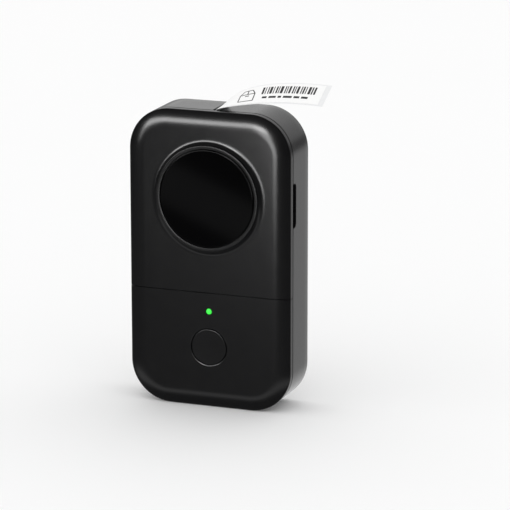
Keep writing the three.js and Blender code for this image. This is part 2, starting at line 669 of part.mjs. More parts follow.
// Involute teeth, thinned by the backlash, with one tooth centred on the angle phase.
function gearShape(teeth, [x, z], phase) {
  const pitch = pitchRadius(teeth);
  const base = pitch * Math.cos(pressureAngle);
  const involute = (angle) => Math.tan(angle) - angle;
  const halfAtPitch = (Math.PI * MODULE - BACKLASH) / (4 * pitch);
  const halfAngle = (radius) =>
    halfAtPitch + involute(pressureAngle) - involute(Math.acos(Math.min(1, base / radius)));
  const flank = [pitch - DEDENDUM, pitch, pitch + ADDENDUM];
  const points = [];
  for (let tooth = 0; tooth < teeth; tooth += 1) {
    const middle = phase + (2 * Math.PI * tooth) / teeth;
    const up = flank.map((radius) => [radius, middle - halfAngle(radius)]);
    const down = flank.map((radius) => [radius, middle + halfAngle(radius)]).reverse();
    for (const [radius, angle] of [...up, ...down]) {
      points.push([x + radius * Math.cos(angle), z + radius * Math.sin(angle)]);
    }
  }
  return polygon(points);
}

// The phase that puts a gap of the next gear on each tooth of the one before it.
function meshedPhase(teethBefore, phaseBefore, centreBefore, teeth, centre) {
  const direction = Math.atan2(centre[1] - centreBefore[1], centre[0] - centreBefore[0]);
  const offset = phaseBefore - direction;
  const halfTooth = Math.PI / teeth;
  return direction + Math.PI - (offset * teethBefore) / teeth + halfTooth;
}

const platenPhase = Math.atan2(idlerCentre[1] - platenCentre[1], idlerCentre[0] - platenCentre[0]);
const idlerPhase = meshedPhase(PLATEN_TEETH, platenPhase, platenCentre, IDLER_TEETH, idlerCentre);
const pinionPhase = meshedPhase(IDLER_TEETH, idlerPhase, idlerCentre, PINION_TEETH, motorCentre);
const gearBack = GEAR_Y + GEAR_WIDTH;

function gear(teeth, centre, phase, bore) {
  return prism(gearShape(teeth, centre, phase), GEAR_Y, gearBack).subtract(
    rod(bore, GEAR_Y - CUT, gearBack + CUT, centre, 14),
  );
}

const motorScrews = [-motorEar, motorEar].map((offset) => [motorCentre[0] + offset, motorCentre[1]]);

piece("inner_tray", tray(), "tray");
const rollAxis = [rollCentre.x, rollCentre.y];
const spindleFront = trayFrontY - SPINDLE_PROUD;
const spindleBack = FLOOR_Y - GAP;
const labelY = [-LABEL_WIDTH / 2, LABEL_WIDTH / 2];
piece(
  "roll_spindle",
  rod(spindleRadius, spindleFront, spindleBack, rollAxis, 32).subtract(
    rod(spindleRadius - SPINDLE_WALL, spindleFront - CUT, spindleBack - SPINDLE_WALL, rollAxis, 32),
  ),
  "tray",
);
piece("roll_core", tube(coreInner, CORE_RADIUS, ...labelY, rollAxis, 48), "card");
piece("label_roll", tube(CORE_RADIUS + GAP, ROLL_RADIUS, ...labelY, rollAxis, 48), "paper");

// ---- Label: straight from the roll to the slot, then bending over to the right ----

function labelStrip() {
  const endX = SIDE_X + TAIL_PAST_SIDE;
  const end = new THREE.Vector2(endX, TOP_Z + TAIL_RISE);
  const tail = new THREE.CubicBezierCurve(
    exit.clone(),
    exit.clone().addScaledVector(alongLabel, TAIL_LEAD),
    new THREE.Vector2(exit.x + (endX - exit.x) / 3, TOP_Z + TAIL_RISE + TAIL_CREST),
    end,
  );
  tail.arcLengthDivisions = 400;
  const tailLength = tail.getLength();
  const straightSteps = 4;
  const tailSteps = 32;
  const geometry = new THREE.BoxGeometry(1, LABEL_WIDTH, LABEL_THICKNESS, straightSteps + tailSteps, 4, 1);
  const position = geometry.getAttribute("position");
  for (let i = 0; i < position.count; i += 1) {
    const step = Math.round((position.getX(i) + 0.5) * (straightSteps + tailSteps));
    const outside = Math.max(0, (step - straightSteps) / tailSteps);
    const across = position.getY(i);
    const thickness = position.getZ(i);
    const point = outside > 0
      ? tail.getPointAt(outside)
      : tangentPoint.clone().lerp(exit, step / straightSteps);
    const tangent = outside > 0 ? tail.getTangentAt(outside) : alongLabel;
    const normal = new THREE.Vector2(-tangent.y, tangent.x);
    const run = outside * tailLength;
    const twist = THREE.MathUtils.degToRad(TAIL_TWIST) * (1 - Math.exp(-run / TAIL_TWIST_LENGTH));
    const lift = across * Math.sin(twist) + thickness * Math.cos(twist);
    position.setXYZ(
      i,
      point.x + normal.x * lift,
      across * Math.cos(twist) - thickness * Math.sin(twist),
      point.y + normal.y * lift,
    );
  }
  return solid(geometry);
}

piece("label_strip", labelStrip(), "paper");

// ---- Platen roller and its drive ----

const shaftFront = armY[0];
piece(
  "platen_roller",
  tube(SHAFT_RADIUS + GAP, PLATEN_RADIUS, ...labelY, platenCentre, 32),
  "rubber",
);
piece("platen_shaft", rod(SHAFT_RADIUS, shaftFront, gearBack, platenCentre, 16), "steel");
piece("platen_front_bush", tube(SHAFT_RADIUS + GAP, bushOuter, armY[0], armY[1], platenCentre, 20), "brass");
piece(
  "platen_rear_bush",
  tube(SHAFT_RADIUS + GAP, bushOuter, FLOOR_Y - GAP, FLOOR_Y + FLOOR, platenCentre, 20),
  "brass",
);
piece("platen_gear", gear(PLATEN_TEETH, platenCentre, platenPhase, SHAFT_RADIUS + GAP), "acetal");
piece("idler_gear", gear(IDLER_TEETH, idlerCentre, idlerPhase, IDLER_PIN_RADIUS + GAP), "acetal");
piece("idler_pin", rod(IDLER_PIN_RADIUS, FLOOR_Y - GAP, gearBack, idlerCentre, 16), "steel");
piece("motor_pinion", gear(PINION_TEETH, motorCentre, pinionPhase, SHAFT_RADIUS + GAP), "brass");
const motorShaftFront = FLOOR_Y - MOTOR_SHAFT_INSIDE;
piece("motor_shaft", rod(SHAFT_RADIUS, motorShaftFront, gearBack, motorCentre, 16), "steel");

function motor() {
  const back = FLOOR_Y - GAP;
  const [x, z] = motorCentre;
  const corner = earWidth / 2 - 0.1;
  const ears = roundedRectangle(x - motorReach, x + motorReach, z - earWidth / 2, z + earWidth / 2, corner);
  let made = rod(MOTOR_RADIUS, back - MOTOR_LENGTH, back, motorCentre, 32)
    .add(prism(ears, back - earThickness, back))
    .subtract(rod(SHAFT_RADIUS + GAP, motorShaftFront - GAP, back + CUT, motorCentre, 16));
  for (const centre of motorScrews) {
    made = made.subtract(rod(holeRadius, back - earThickness - CUT, back + CUT, centre, 12));
  }
  return made;
}

piece("drive_motor", motor(), "steel");
motorScrews.forEach((centre, index) => {
  const seat = FLOOR_Y - GAP - earThickness - GAP;
  piece("motor_screw_" + (index + 1), screw(seat, FLOOR_Y + FLOOR - seat, centre, -1), "steel");
});

// ---- Print head ----

const headY = [-LABEL_WIDTH / 2 - GAP, LABEL_WIDTH / 2];
const headFace = labelSide;
const sinkFace = headFace + HEAD_THICKNESS + GAP;

function heatSink() {
  const [low, high] = HEAD_SPAN;
  let made = alongBlock([low, high - 0.5], [sinkFace, sinkFace + SINK_THICKNESS], headY);
  // The lug that turns on the pivot.
  made = made
    .add(alongBlock([-PIVOT_FROM_NIP, low + 0.5], [sinkFace, sinkFace + SINK_THICKNESS], headY))
    .add(rod(PIVOT_RADIUS + GAP + 1, ...headY, pivotCentre, 20))
    .subtract(rod(PIVOT_RADIUS + GAP, headY[0] - CUT, headY[1] + CUT, pivotCentre, 16));
  // Cooling grooves along the label, beside the spring.
  const [width, depth] = SINK_GROOVE_SIZE;
  const sinkBack = sinkFace + SINK_THICKNESS;
  const pitch = (headY[1] - headY[0]) / SINK_GROOVES;
  for (let index = 0; index < SINK_GROOVES; index += 1) {
    const middle = headY[0] + (index + 0.5) * pitch;
    if (Math.abs(middle) < SPRING_RADIUS + SPRING_WIRE) continue;
    made = made.subtract(
      alongBlock([low + 1, high + CUT], [sinkBack - depth, sinkBack + CUT],
        [middle - width / 2, middle + width / 2]),
    );
  }
  return made;
}

class Helix extends THREE.Curve {
  constructor(start, axis, length, radius, turns) {
    super();
    this.start = start;
    this.axis = axis;
    this.side = new THREE.Vector3(0, 1, 0);
    this.other = new THREE.Vector3().crossVectors(axis, this.side);
    this.length = length;
    this.radius = radius;
    this.turns = turns;
  }

  getPoint(t) {
    const angle = 2 * Math.PI * this.turns * t;
    return this.start.clone()
      .addScaledVector(this.axis, this.length * t)
      .addScaledVector(this.side, this.radius * Math.cos(angle))
      .addScaledVector(this.other, this.radius * Math.sin(angle));
  }
}

function headSpring() {
  const [x, z] = fromNip(SPRING_ALONG, springSeat + GAP + SPRING_WIRE);
  const start = new THREE.Vector3(x, 0, z);
  const axis = new THREE.Vector3(squareToLabel.x, 0, squareToLabel.y);
  const length = SPRING_LENGTH - 2 * SPRING_WIRE;
  const coil = new Helix(start, axis, length, SPRING_RADIUS, SPRING_TURNS);
  const wire = new THREE.Shape().absarc(0, 0, SPRING_WIRE, 0, 2 * Math.PI, false);
  const options = { extrudePath: coil, steps: 9 * SPRING_TURNS, curveSegments: 3, bevelEnabled: false };
  return solid(new THREE.ExtrudeGeometry(wire, options));
}

piece("print_head", alongBlock(HEAD_SPAN, [headFace, headFace + HEAD_THICKNESS], headY), "ceramic");
piece("head_heat_sink", heatSink(), "aluminium");
piece("head_pivot_pin", rod(PIVOT_RADIUS, headY[0] - 0.6, FLOOR_Y + FLOOR, pivotCentre, 16), "steel");
piece("head_spring", headSpring(), "steel");

// ---- Tear bar, gap sensor and ribbon ----

function tearBar() {
  const [barLength, barThickness] = TEAR_BAR_SIZE;
  const edge = NIP_BELOW_EXIT - TEAR_BAR_BELOW_EXIT;
  const thickness = [labelSide, labelSide + barThickness];
  let made = alongBlock([edge - barLength, edge], thickness, labelY);
  const pitch = LABEL_WIDTH / TEAR_TEETH;
  for (let index = 0; index < TEAR_TEETH; index += 1) {
    const middle = labelY[0] + (index + 0.5) * pitch;
    made = made.subtract(
      alongBlock([edge - TEAR_TOOTH_DEPTH, edge + CUT], [thickness[0] - CUT, thickness[1] + CUT],
        [middle - pitch / 4, middle + pitch / 4]),
    );
  }
  return made;
}

piece("tear_bar", tearBar(), "steel");
const [sensorLength, sensorThickness] = SENSOR_SIZE;
const sensorHigh = -PIVOT_FROM_NIP - SENSOR_BELOW_PIVOT;
const sensorSpan = [sensorHigh - sensorLength, sensorHigh];
const sensorSquare = labelSide + sensorThickness;
piece("gap_sensor", alongBlock(sensorSpan, [labelSide, sensorSquare], [-3, FLOOR_Y - GAP]), "chip");

// It runs up beside the well, clear of the screws, and turns once to the head.
function headRibbon() {
  const width = RIBBON_WIDTH;
  const left = -wellOuter - GAP - width;
  const bottom = TRAY_BOTTOM_Z + WELL_WALL + GAP;
  const turnZ = pivotCentre[1];
  const right = fromNip(sensorSpan[0], sensorSquare)[0] - GAP;
  const shape = polygon([
    [left, bottom],
    [left + width, bottom],
    [left + width, turnZ - width],
    [right, turnZ - width],
    [right, turnZ],
    [left + width, turnZ],
    [left, turnZ - width],
  ]);
  return prism(shape, FLOOR_Y - 2 * GAP, FLOOR_Y - GAP);
}

piece("head_ribbon", headRibbon(), "film");

// ---- Board, light, switch, socket and battery ----

function mainBoard() {
  let made = prism(outline(WALL + BOARD_MARGIN), BOARD_Y, BOARD_BACK_Y).intersect(belowZ(BOARD_TOP_Z));
  for (const centre of coverScrews) {
    made = made.subtract(rod(bossRadius + 2 * GAP, BOARD_Y - CUT, BOARD_BACK_Y + CUT, centre, 14));
  }
  for (const centre of boardScrews) {
    made = made.subtract(rod(holeRadius, BOARD_Y - CUT, BOARD_BACK_Y + CUT, centre, 12));
  }
  return made;
}

piece("main_board", mainBoard(), "board");

const [flangeReach, flangeThickness] = FLANGE;
const flangeY = DOOR_INNER_Y + GAP;
const flangeBack = flangeY + flangeThickness;
const [ledWidth, ledDepth, ledHeight] = LED_SIZE;
const ledFront = BOARD_Y - GAP - ledDepth;
piece(
  "light_pipe",
  turned([
    [0, FACE_Y - 0.1],
    [LIGHT_RADIUS - EDGE, FACE_Y],
    [LIGHT_RADIUS, FACE_Y + EDGE],
    [LIGHT_RADIUS, flangeY],
    [LIGHT_RADIUS + flangeReach, flangeY],
    [LIGHT_RADIUS + flangeReach, flangeBack],
    [LIGHT_RADIUS, flangeBack],
    [LIGHT_RADIUS, ledFront - GAP],
    [0, ledFront - GAP],
  ], [0, LIGHT_Z], 20),
  "light",
);
piece(
  "status_led",
  block([-ledWidth / 2, ledWidth / 2], [ledFront, BOARD_Y - GAP],
    [LIGHT_Z - ledHeight / 2, LIGHT_Z + ledHeight / 2]),
  "acetal",
);

// The button: a flush cap, a flange behind the cover that keeps it in, and a stem to the switch.
const switchTop = BOARD_Y - GAP - SWITCH_HEIGHT;
const [plungerRadius, plungerOut, plungerIn] = PLUNGER;
const plungerTop = switchTop - plungerOut;
const plungerBack = switchTop + plungerIn;
piece(
  "power_button",
  turned([
    [0, FACE_Y],
    [BUTTON_RADIUS - EDGE, FACE_Y],
    [BUTTON_RADIUS, FACE_Y + EDGE],
    [BUTTON_RADIUS, flangeY],
    [BUTTON_RADIUS + flangeReach, flangeY],
    [BUTTON_RADIUS + flangeReach, flangeBack],
    [STEM_RADIUS, flangeBack],
    [STEM_RADIUS, plungerTop - GAP],
    [0, plungerTop - GAP],
  ], [0, BUTTON_Z], 40),
  "button",
);
piece("switch_plunger", rod(plungerRadius, plungerTop, plungerBack, [0, BUTTON_Z], 16), "chip");
const plungerWell = plungerBack + BUTTON_TRAVEL + GAP;
piece(
  "power_switch",
  block([-SWITCH_SIZE / 2, SWITCH_SIZE / 2], [switchTop, BOARD_Y - GAP],
    [BUTTON_Z - SWITCH_SIZE / 2, BUTTON_Z + SWITCH_SIZE / 2])
    .subtract(rod(plungerRadius + GAP, switchTop - CUT, plungerWell, [0, BUTTON_Z], 16)),
  "steel",
);
const [chipWidth, chipThickness] = CHIP_SIZE;
const [chipX, chipZ] = CHIP_CENTRE.map((middle) => [middle - chipWidth / 2, middle + chipWidth / 2]);
piece("control_chip", block(chipX, [BOARD_Y - GAP - chipThickness, BOARD_Y - GAP], chipZ), "chip");

const [portLength, portHeight, portDepth] = PORT_SIZE;
const portMouth = -SIDE_X + GAP;
const portEnd = portMouth + portLength - 1;

function chargingSocket() {
  const shape = (shrink) => roundedRectangle(-portHeight / 2 + shrink, portHeight / 2 - shrink,
    -portDepth / 2 + shrink, portDepth / 2 - shrink, portDepth / 2 - shrink - 0.05);
  return bar(shape(0), portMouth, portMouth + portLength, PORT_Z, portY)
    .subtract(bar(shape(PORT_WALL), portMouth - CUT, portEnd, PORT_Z, portY));
}

piece("charging_socket", chargingSocket(), "steel");
const [tongueThickness, tongueHeight] = TONGUE_SIZE;
piece(
  "socket_tongue",
  block([portMouth + TONGUE_INSET, portEnd - GAP],
    [portY - tongueThickness / 2, portY + tongueThickness / 2],
    [PORT_Z - tongueHeight / 2, PORT_Z + tongueHeight / 2]),
  "chip",
);

const [batteryWidth, batteryDepth, batteryHeight] = BATTERY_SIZE;
const [batteryCorner, batteryEdge] = BATTERY_ROUNDING;
const batteryLow = (BOARD_TOP_Z - batteryHeight) / 2;
const batteryOutline = roundedRectangle(-batteryWidth / 2, batteryWidth / 2,
  batteryLow, batteryLow + batteryHeight, batteryCorner);
const batteryBack = BACK_INNER_Y - GAP;
piece(
  "battery_pack",
  roundedPrism(batteryOutline, batteryBack - batteryDepth, batteryBack, batteryEdge, 3, 2),
  "battery",
);

// ---- Screws ----

coverScrews.forEach((centre, index) => {
  const length = coverSeatY - BOARD_Y + COVER_SCREW_BITE;
  piece("back_screw_" + (index + 1), screw(coverSeatY + GAP, length, centre, 1), "steel");
});
boardScrews.forEach((centre, index) => {
  const length = BOARD_THICKNESS + BOARD_SCREW_BITE;
  piece("board_screw_" + (index + 1), screw(BOARD_Y - GAP, length, centre, -1), "steel");
});
trayScrews.forEach((centre, index) => {
  piece("tray_screw_" + (index + 1), screw(FLOOR_Y - GAP, FLOOR + TRAY_SCREW_BITE, centre, -1), "steel");
});

export default printer;
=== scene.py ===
"""Looks of a pocket thermal label printer that stands upright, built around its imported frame.

Each sub-assembly is a class that holds its sizes in millimetres and builds its own pieces. Places
come from the frame's boxes and joints. Every new piece is a numpy surface: rings of points that
are carried along a profile, or a grid of two parameters.
"""
import json
import logging
import math
from dataclasses import dataclass, field
from enum import Enum
from typing import Iterable, Sequence

import bmesh
import bpy
import numpy as np
from mathutils import Matrix, Vector


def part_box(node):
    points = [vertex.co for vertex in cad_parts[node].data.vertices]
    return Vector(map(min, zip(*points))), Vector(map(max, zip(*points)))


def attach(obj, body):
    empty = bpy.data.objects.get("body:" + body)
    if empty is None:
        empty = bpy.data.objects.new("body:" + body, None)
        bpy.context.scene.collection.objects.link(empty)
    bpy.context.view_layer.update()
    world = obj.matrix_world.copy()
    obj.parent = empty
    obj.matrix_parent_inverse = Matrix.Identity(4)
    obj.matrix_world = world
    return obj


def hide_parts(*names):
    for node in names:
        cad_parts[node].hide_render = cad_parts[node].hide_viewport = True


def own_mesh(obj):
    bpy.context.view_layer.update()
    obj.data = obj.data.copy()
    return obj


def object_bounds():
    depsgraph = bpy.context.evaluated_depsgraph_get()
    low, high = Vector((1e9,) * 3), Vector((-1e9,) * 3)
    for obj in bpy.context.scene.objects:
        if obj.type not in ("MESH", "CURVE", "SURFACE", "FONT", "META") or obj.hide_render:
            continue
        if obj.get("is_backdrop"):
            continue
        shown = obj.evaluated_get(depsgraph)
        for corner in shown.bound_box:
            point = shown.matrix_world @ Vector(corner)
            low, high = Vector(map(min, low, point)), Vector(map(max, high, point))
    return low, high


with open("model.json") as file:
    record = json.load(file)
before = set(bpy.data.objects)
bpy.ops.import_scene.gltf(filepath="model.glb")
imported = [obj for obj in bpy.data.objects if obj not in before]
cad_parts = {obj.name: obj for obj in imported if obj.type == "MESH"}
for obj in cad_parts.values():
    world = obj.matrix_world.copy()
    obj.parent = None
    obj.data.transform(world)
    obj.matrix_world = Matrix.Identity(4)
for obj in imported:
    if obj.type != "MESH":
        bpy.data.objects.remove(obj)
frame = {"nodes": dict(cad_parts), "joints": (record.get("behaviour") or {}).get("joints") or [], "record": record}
CAD_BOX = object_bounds()

MM = 0.001
TAU = 2 * math.pi
QUARTER = math.pi / 2
LOG = logging.getLogger("label_printer")

# Sizes in millimetres that several pieces share.
RIM_CHAMFER = 0.28  # on both rims of the parting line
END_WALL = 1.2  # the front mouldings' wall along the seam
BITE = 0.9  # how far a tool that joins reaches into a wall
PAST = 1.0  # how far a tool that cuts reaches past a surface
FLANGE = 1.0  # how far the button's and the light's flanges stand out
POST_HOLE = 1.3  # the radius of the back screws' holes
BACK_SCREWS = ("back_screw_1", "back_screw_2")

Points = np.ndarray
Pair = tuple[float, float]
Triple = tuple[float, float, float]
Piece = bpy.types.Object
Socket = bpy.types.NodeSocket
Tool = tuple[Piece, str]


class Body(Enum):
    """The rigid bodies that a piece can ride on."""

    PRINTER = "printer"
    DOOR = "door"
    BUTTON = "button"
    ROLL = "roll"
    PLATEN = "platen"
    IDLER = "idler"
    ROTOR = "motor_rotor"
    HEAD = "head"


class Slot(Enum):
    """The record's material slots."""

    CASING = "casing"
    DOOR = "door"
    WINDOW = "window"
    TRAY = "tray"
    BUTTON = "button"
    LIGHT = "light"
    PAPER = "paper"
    CARD = "card"
    STEEL = "steel"
    SCREW = "screw"
    ALUMINIUM = "aluminium"
    RUBBER = "rubber"
    ACETAL = "acetal"
    CERAMIC = "ceramic"
    BRASS = "brass"
    CHIP = "chip"
    FILM = "film"
    BOARD = "board"
    BATTERY = "battery"


# ---- Layout: the places that the frame gives, in millimetres ----


@dataclass(frozen=True)
class Layout:
    """Places of the printer's main features, in millimetres.

    Attributes:
        side_x: half the body's width.
        top_z: the body's height.
        back_y: the back face.
        face_y: the flat front face.
        parting_y: the plane between the front pieces and the housing.
        hinge_x: the door hinge's axis.
        seam_z: the seam between the door and the lower cover.
        wall: the mouldings' thickness.
        gap: the clearance between pieces.
        corner: the outline's corner radius.
    """

    side_x: float
    top_z: float
    back_y: float
    face_y: float
    parting_y: float
    hinge_x: float
    seam_z: float
    wall: float = 1.8
    gap: float = 0.3
    corner: float = 19.0

    @classmethod
    def from_frame(cls) -> "Layout":
        """Reads the layout from the frame's boxes and joints.

        Returns:
            The layout in millimetres.
        """
        housing = box_mm("rear_housing")
        cover = box_mm("lower_front_cover")
        hinge = next(j for j in frame["joints"] if j["name"] == "door_hinge")["pos_m"]
        gap = 0.3
        return cls(
            side_x=float(housing[1][0]),
            top_z=float(housing[1][2]),
            back_y=float(housing[1][1]),
            face_y=float(cover[0][1]),
            parting_y=hinge[1] / MM,
            hinge_x=hinge[0] / MM,
            seam_z=float(cover[1][2]) + gap / 2,
            gap=gap,
        )

    @property
    def inner_y(self) -> float:
        """The inner side of the front wall."""
        return self.face_y + self.wall


def box_mm(node: str) -> tuple[Points, Points]:
    """Gives a CAD node's box.

    Args:
        node: the node's name.

    Returns:
        Its lowest and highest corners, in millimetres.
    """
    low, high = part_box(node)
    return np.array(low) / MM, np.array(high) / MM


def centre_mm(node: str) -> Points:
    """Gives the middle of a CAD node's box, in millimetres."""
    low, high = box_mm(node)
    return (low + high) / 2

def middle_xz(node: str) -> Pair:
    """Gives the x and z of the middle of a CAD node's box, in millimetres."""
    middle = centre_mm(node)
    return float(middle[0]), float(middle[2])


# ---- Meshes from arrays ----


def new_object(name: str, data: bpy.types.ID) -> Piece:
    """Makes an object from a mesh, a light or a camera, and links it to the scene."""
    made = bpy.data.objects.new(name, data)
    bpy.context.scene.collection.objects.link(made)
    return made


def make_mesh(name: str, points: Points, faces: Sequence[Sequence[int]]) -> Piece:
    """Puts points and faces into a new object at the origin.

    Args:
        name: the object's name.
        points: an n by 3 array in millimetres.
        faces: each face's point numbers.

    Returns:
        The object, linked to the scene.
    """
    mesh = bpy.data.meshes.new(name)
    places = (np.asarray(points, float) * MM).tolist()
    mesh.from_pydata(places, [], [list(map(int, f)) for f in faces])
    mesh.update()
    return new_object(name, mesh)


def grid_faces(rows: int, columns: int, close_rows: bool, close_columns: bool) -> Points:
    """Gives the quads of a grid whose points are numbered row by row.

    Args:
        rows: the number of rows of points.
        columns: the number of points in a row.
        close_rows: whether the last row joins the first.
        close_columns: whether each row is a ring.

    Returns:
        An n by 4 array of point numbers.
    """
    row = np.arange(rows if close_rows else rows - 1)
    column = np.arange(columns if close_columns else columns - 1)
    r, c = np.meshgrid(row, column, indexing="ij")
    r_next, c_next = (r + 1) % rows, (c + 1) % columns
    here, there = r * columns, r_next * columns
    return np.stack([here + c, here + c_next, there + c_next, there + c], -1).reshape(-1, 4)


def loft(name: str, rings: Sequence[Points], closed: bool = False, caps: bool = True) -> Piece:
    """Joins rings of equal length into one closed surface that faces outwards.

    Args:
        name: the object's name.
        rings: arrays of n by 3 points in millimetres, in order.
        closed: whether the last ring joins the first, as on a tube bent into a loop.
        caps: whether the first and last rings are closed by a flat face.

    Returns:
        The object.
    """
    columns = len(rings[0])
    faces = grid_faces(len(rings), columns, closed, True).tolist()
    if caps and not closed:
        last = (len(rings) - 1) * columns
        faces.append(list(range(columns))[::-1])
        faces.append([last + i for i in range(columns)])
    made = make_mesh(name, np.concatenate(rings), faces)
    face_outwards(made)
    return made


def face_outwards(piece: Piece, merge: float = 1e-6) -> None:
    """Merges doubles and turns every face outwards.

    Args:
        piece: the object to mend.
        merge: points nearer than this, in metres, become one.
    """
    work = bmesh.new()
    work.from_mesh(piece.data)
    bmesh.ops.remove_doubles(work, verts=work.verts, dist=merge)
    bmesh.ops.dissolve_degenerate(work, dist=merge / 2, edges=work.edges)
    bmesh.ops.recalc_face_normals(work, faces=work.faces)
    if work.calc_volume(signed=True) < 0:
        bmesh.ops.reverse_faces(work, faces=work.faces)
    work.to_mesh(piece.data)
    work.free()


def smooth(piece: Piece, degrees: float = 30, bevel: float = 0.0, segments: int = 2) -> None:
    """Smooths a piece's shading, keeps its sharp edges, and may round them a little.

    Args:
        piece: the object.
        degrees: edges that turn more than this stay sharp.
        bevel: the width of the rounding in millimetres, or 0 for none.
        segments: the rounding's steps.
    """
    mesh = piece.data
    mesh.shade_smooth()
    mesh.set_sharp_from_angle(angle=math.radians(degrees))
    if bevel > 0:
        rounding = piece.modifiers.new("edge rounding", "BEVEL")
        rounding.width = bevel * MM
        rounding.segments = segments
        rounding.limit_method = "ANGLE"
        rounding.angle_limit = math.radians(degrees)
        rounding.harden_normals = True
        rounding.use_clamp_overlap = True
        rounding.miter_outer = "MITER_ARC"


def apply_modifiers(piece: Piece) -> None:
    """Replaces a piece's mesh by its mesh with all modifiers applied."""
    evaluated = piece.evaluated_get(bpy.context.evaluated_depsgraph_get())
    mesh = bpy.data.meshes.new_from_object(evaluated)
    piece.modifiers.clear()
    piece.data = mesh


def combine(piece: Piece, tool: Piece, operation: str = "DIFFERENCE") -> None:
    """Cuts a piece with a closed tool, or joins the tool to it, and removes the tool.

    Args:
        piece: the object to change.
        tool: a closed object.
        operation: DIFFERENCE, UNION or INTERSECT.
    """
    step = piece.modifiers.new("combine", "BOOLEAN")
    step.object = tool
    step.operation = operation
    step.solver = "EXACT"
    bpy.context.view_layer.update()
    apply_modifiers(piece)
    bpy.data.objects.remove(tool)


def circle(radius: float, centre: Sequence[float], y: float, angles: Points) -> Points:
    """Gives points on a circle in the XZ plane.

    Args:
        radius: its radius.
        centre: its centre's x and z.
        y: its depth.
        angles: the points' angles, in radians from +X towards +Z.

    Returns:
        An n by 3 array.
    """
    x, z = centre[0] + radius * np.cos(angles), centre[1] + radius * np.sin(angles)
    return np.stack([x, np.full_like(angles, y), z], -1)


def rounded_edge(radius: float, top: float, edge: float, steps: int = 6) -> list[Pair]:
    """Gives a quarter circle between a flat top and a side.

    At angle a the point is (radius - edge * (1 - sin a), top + edge * (1 - cos a)).

    Args:
        radius: the side's place.
        top: the flat top's place.
        edge: the quarter circle's radius.
        steps: the number of points.

    Returns:
        The points, from the top to the side.
    """
    turn = np.linspace(0, QUARTER, steps)
    return [(radius - edge * (1 - math.sin(a)), top + edge * (1 - math.cos(a))) for a in turn]


def turned(
    name: str,
    profile: Iterable[Pair],
    centre: Sequence[float],
    segments: int = 64,
    closed: bool = False,
) -> Piece:
    """Turns a profile about a line along Y.

    Each profile point (r, y) gives the ring (x + r cos a, y, z + r sin a).

    Args:
        name: the object's name.
        profile: (radius, y) points. An open profile starts and ends on the axis.
        centre: the axis' x and z.
        segments: points in each ring.
        closed: whether the profile joins its own start.

    Returns:
        The object.
    """
    angles = np.linspace(0, TAU, segments, endpoint=False)
    rings = [circle(max(r, 0.0), centre, y, angles) for r, y in profile]
    return loft(name, rings, closed=closed, caps=False)


def prism(name: str, axis: int, corners: Sequence[Pair], low: float, high: float) -> Piece:
    """Carries a flat outline along an axis.

    Args:
        name: the object's name.
        axis: 0, 1 or 2 for X, Y or Z.
        corners: the outline's points on the other two axes, in their order.
        low: where it starts along the axis.
        high: where it ends.

    Returns:
        The object.
    """
    flat = np.array(corners, float)
    return loft(name, [np.insert(flat, axis, end, axis=1) for end in (low, high)])


def rectangle(low_a: float, high_a: float, low_b: float, high_b: float) -> list[Pair]:
    """Gives a rectangle's four corners in order."""
    return [(low_a, low_b), (high_a, low_b), (high_a, high_b), (low_a, high_b)]


def round_points(centre: Pair, radius: float, count: int) -> list[Pair]:
    """Gives count points round a circle."""
    angles = np.linspace(0, TAU, count, endpoint=False)
    return list(zip(centre[0] + radius * np.cos(angles), centre[1] + radius * np.sin(angles)))


def refined_copy(node: str, name: str, bevel: float, degrees: float = 32) -> Piece:
    """Copies a CAD node, merges its loose triangles and rounds its sharp edges.

    Args:
        node: the node's name.
        name: the new piece's name.
        bevel: the rounding in millimetres.
        degrees: edges that turn more than this are rounded.

    Returns:
        The new piece, which replaces the node.
    """
    mesh = frame["nodes"][node].data.copy()
    mesh.materials.clear()
    made = new_object(name, mesh)
    work = bmesh.new()
    work.from_mesh(mesh)
    bmesh.ops.remove_doubles(work, verts=work.verts, dist=2e-6)
    bmesh.ops.dissolve_limit(work, angle_limit=math.radians(1), verts=work.verts, edges=work.edges)
    work.to_mesh(mesh)
    work.free()
    smooth(made, degrees, bevel)
    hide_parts(node)
    return made


# ---- Finishes ----


def fill(node: bpy.types.Node, **values: object) -> None:
    """Sets a node's sockets by name, with spaces written as underscores."""
    for key, value in values.items():
        node.inputs[key.replace("_", " ")].default_value = value


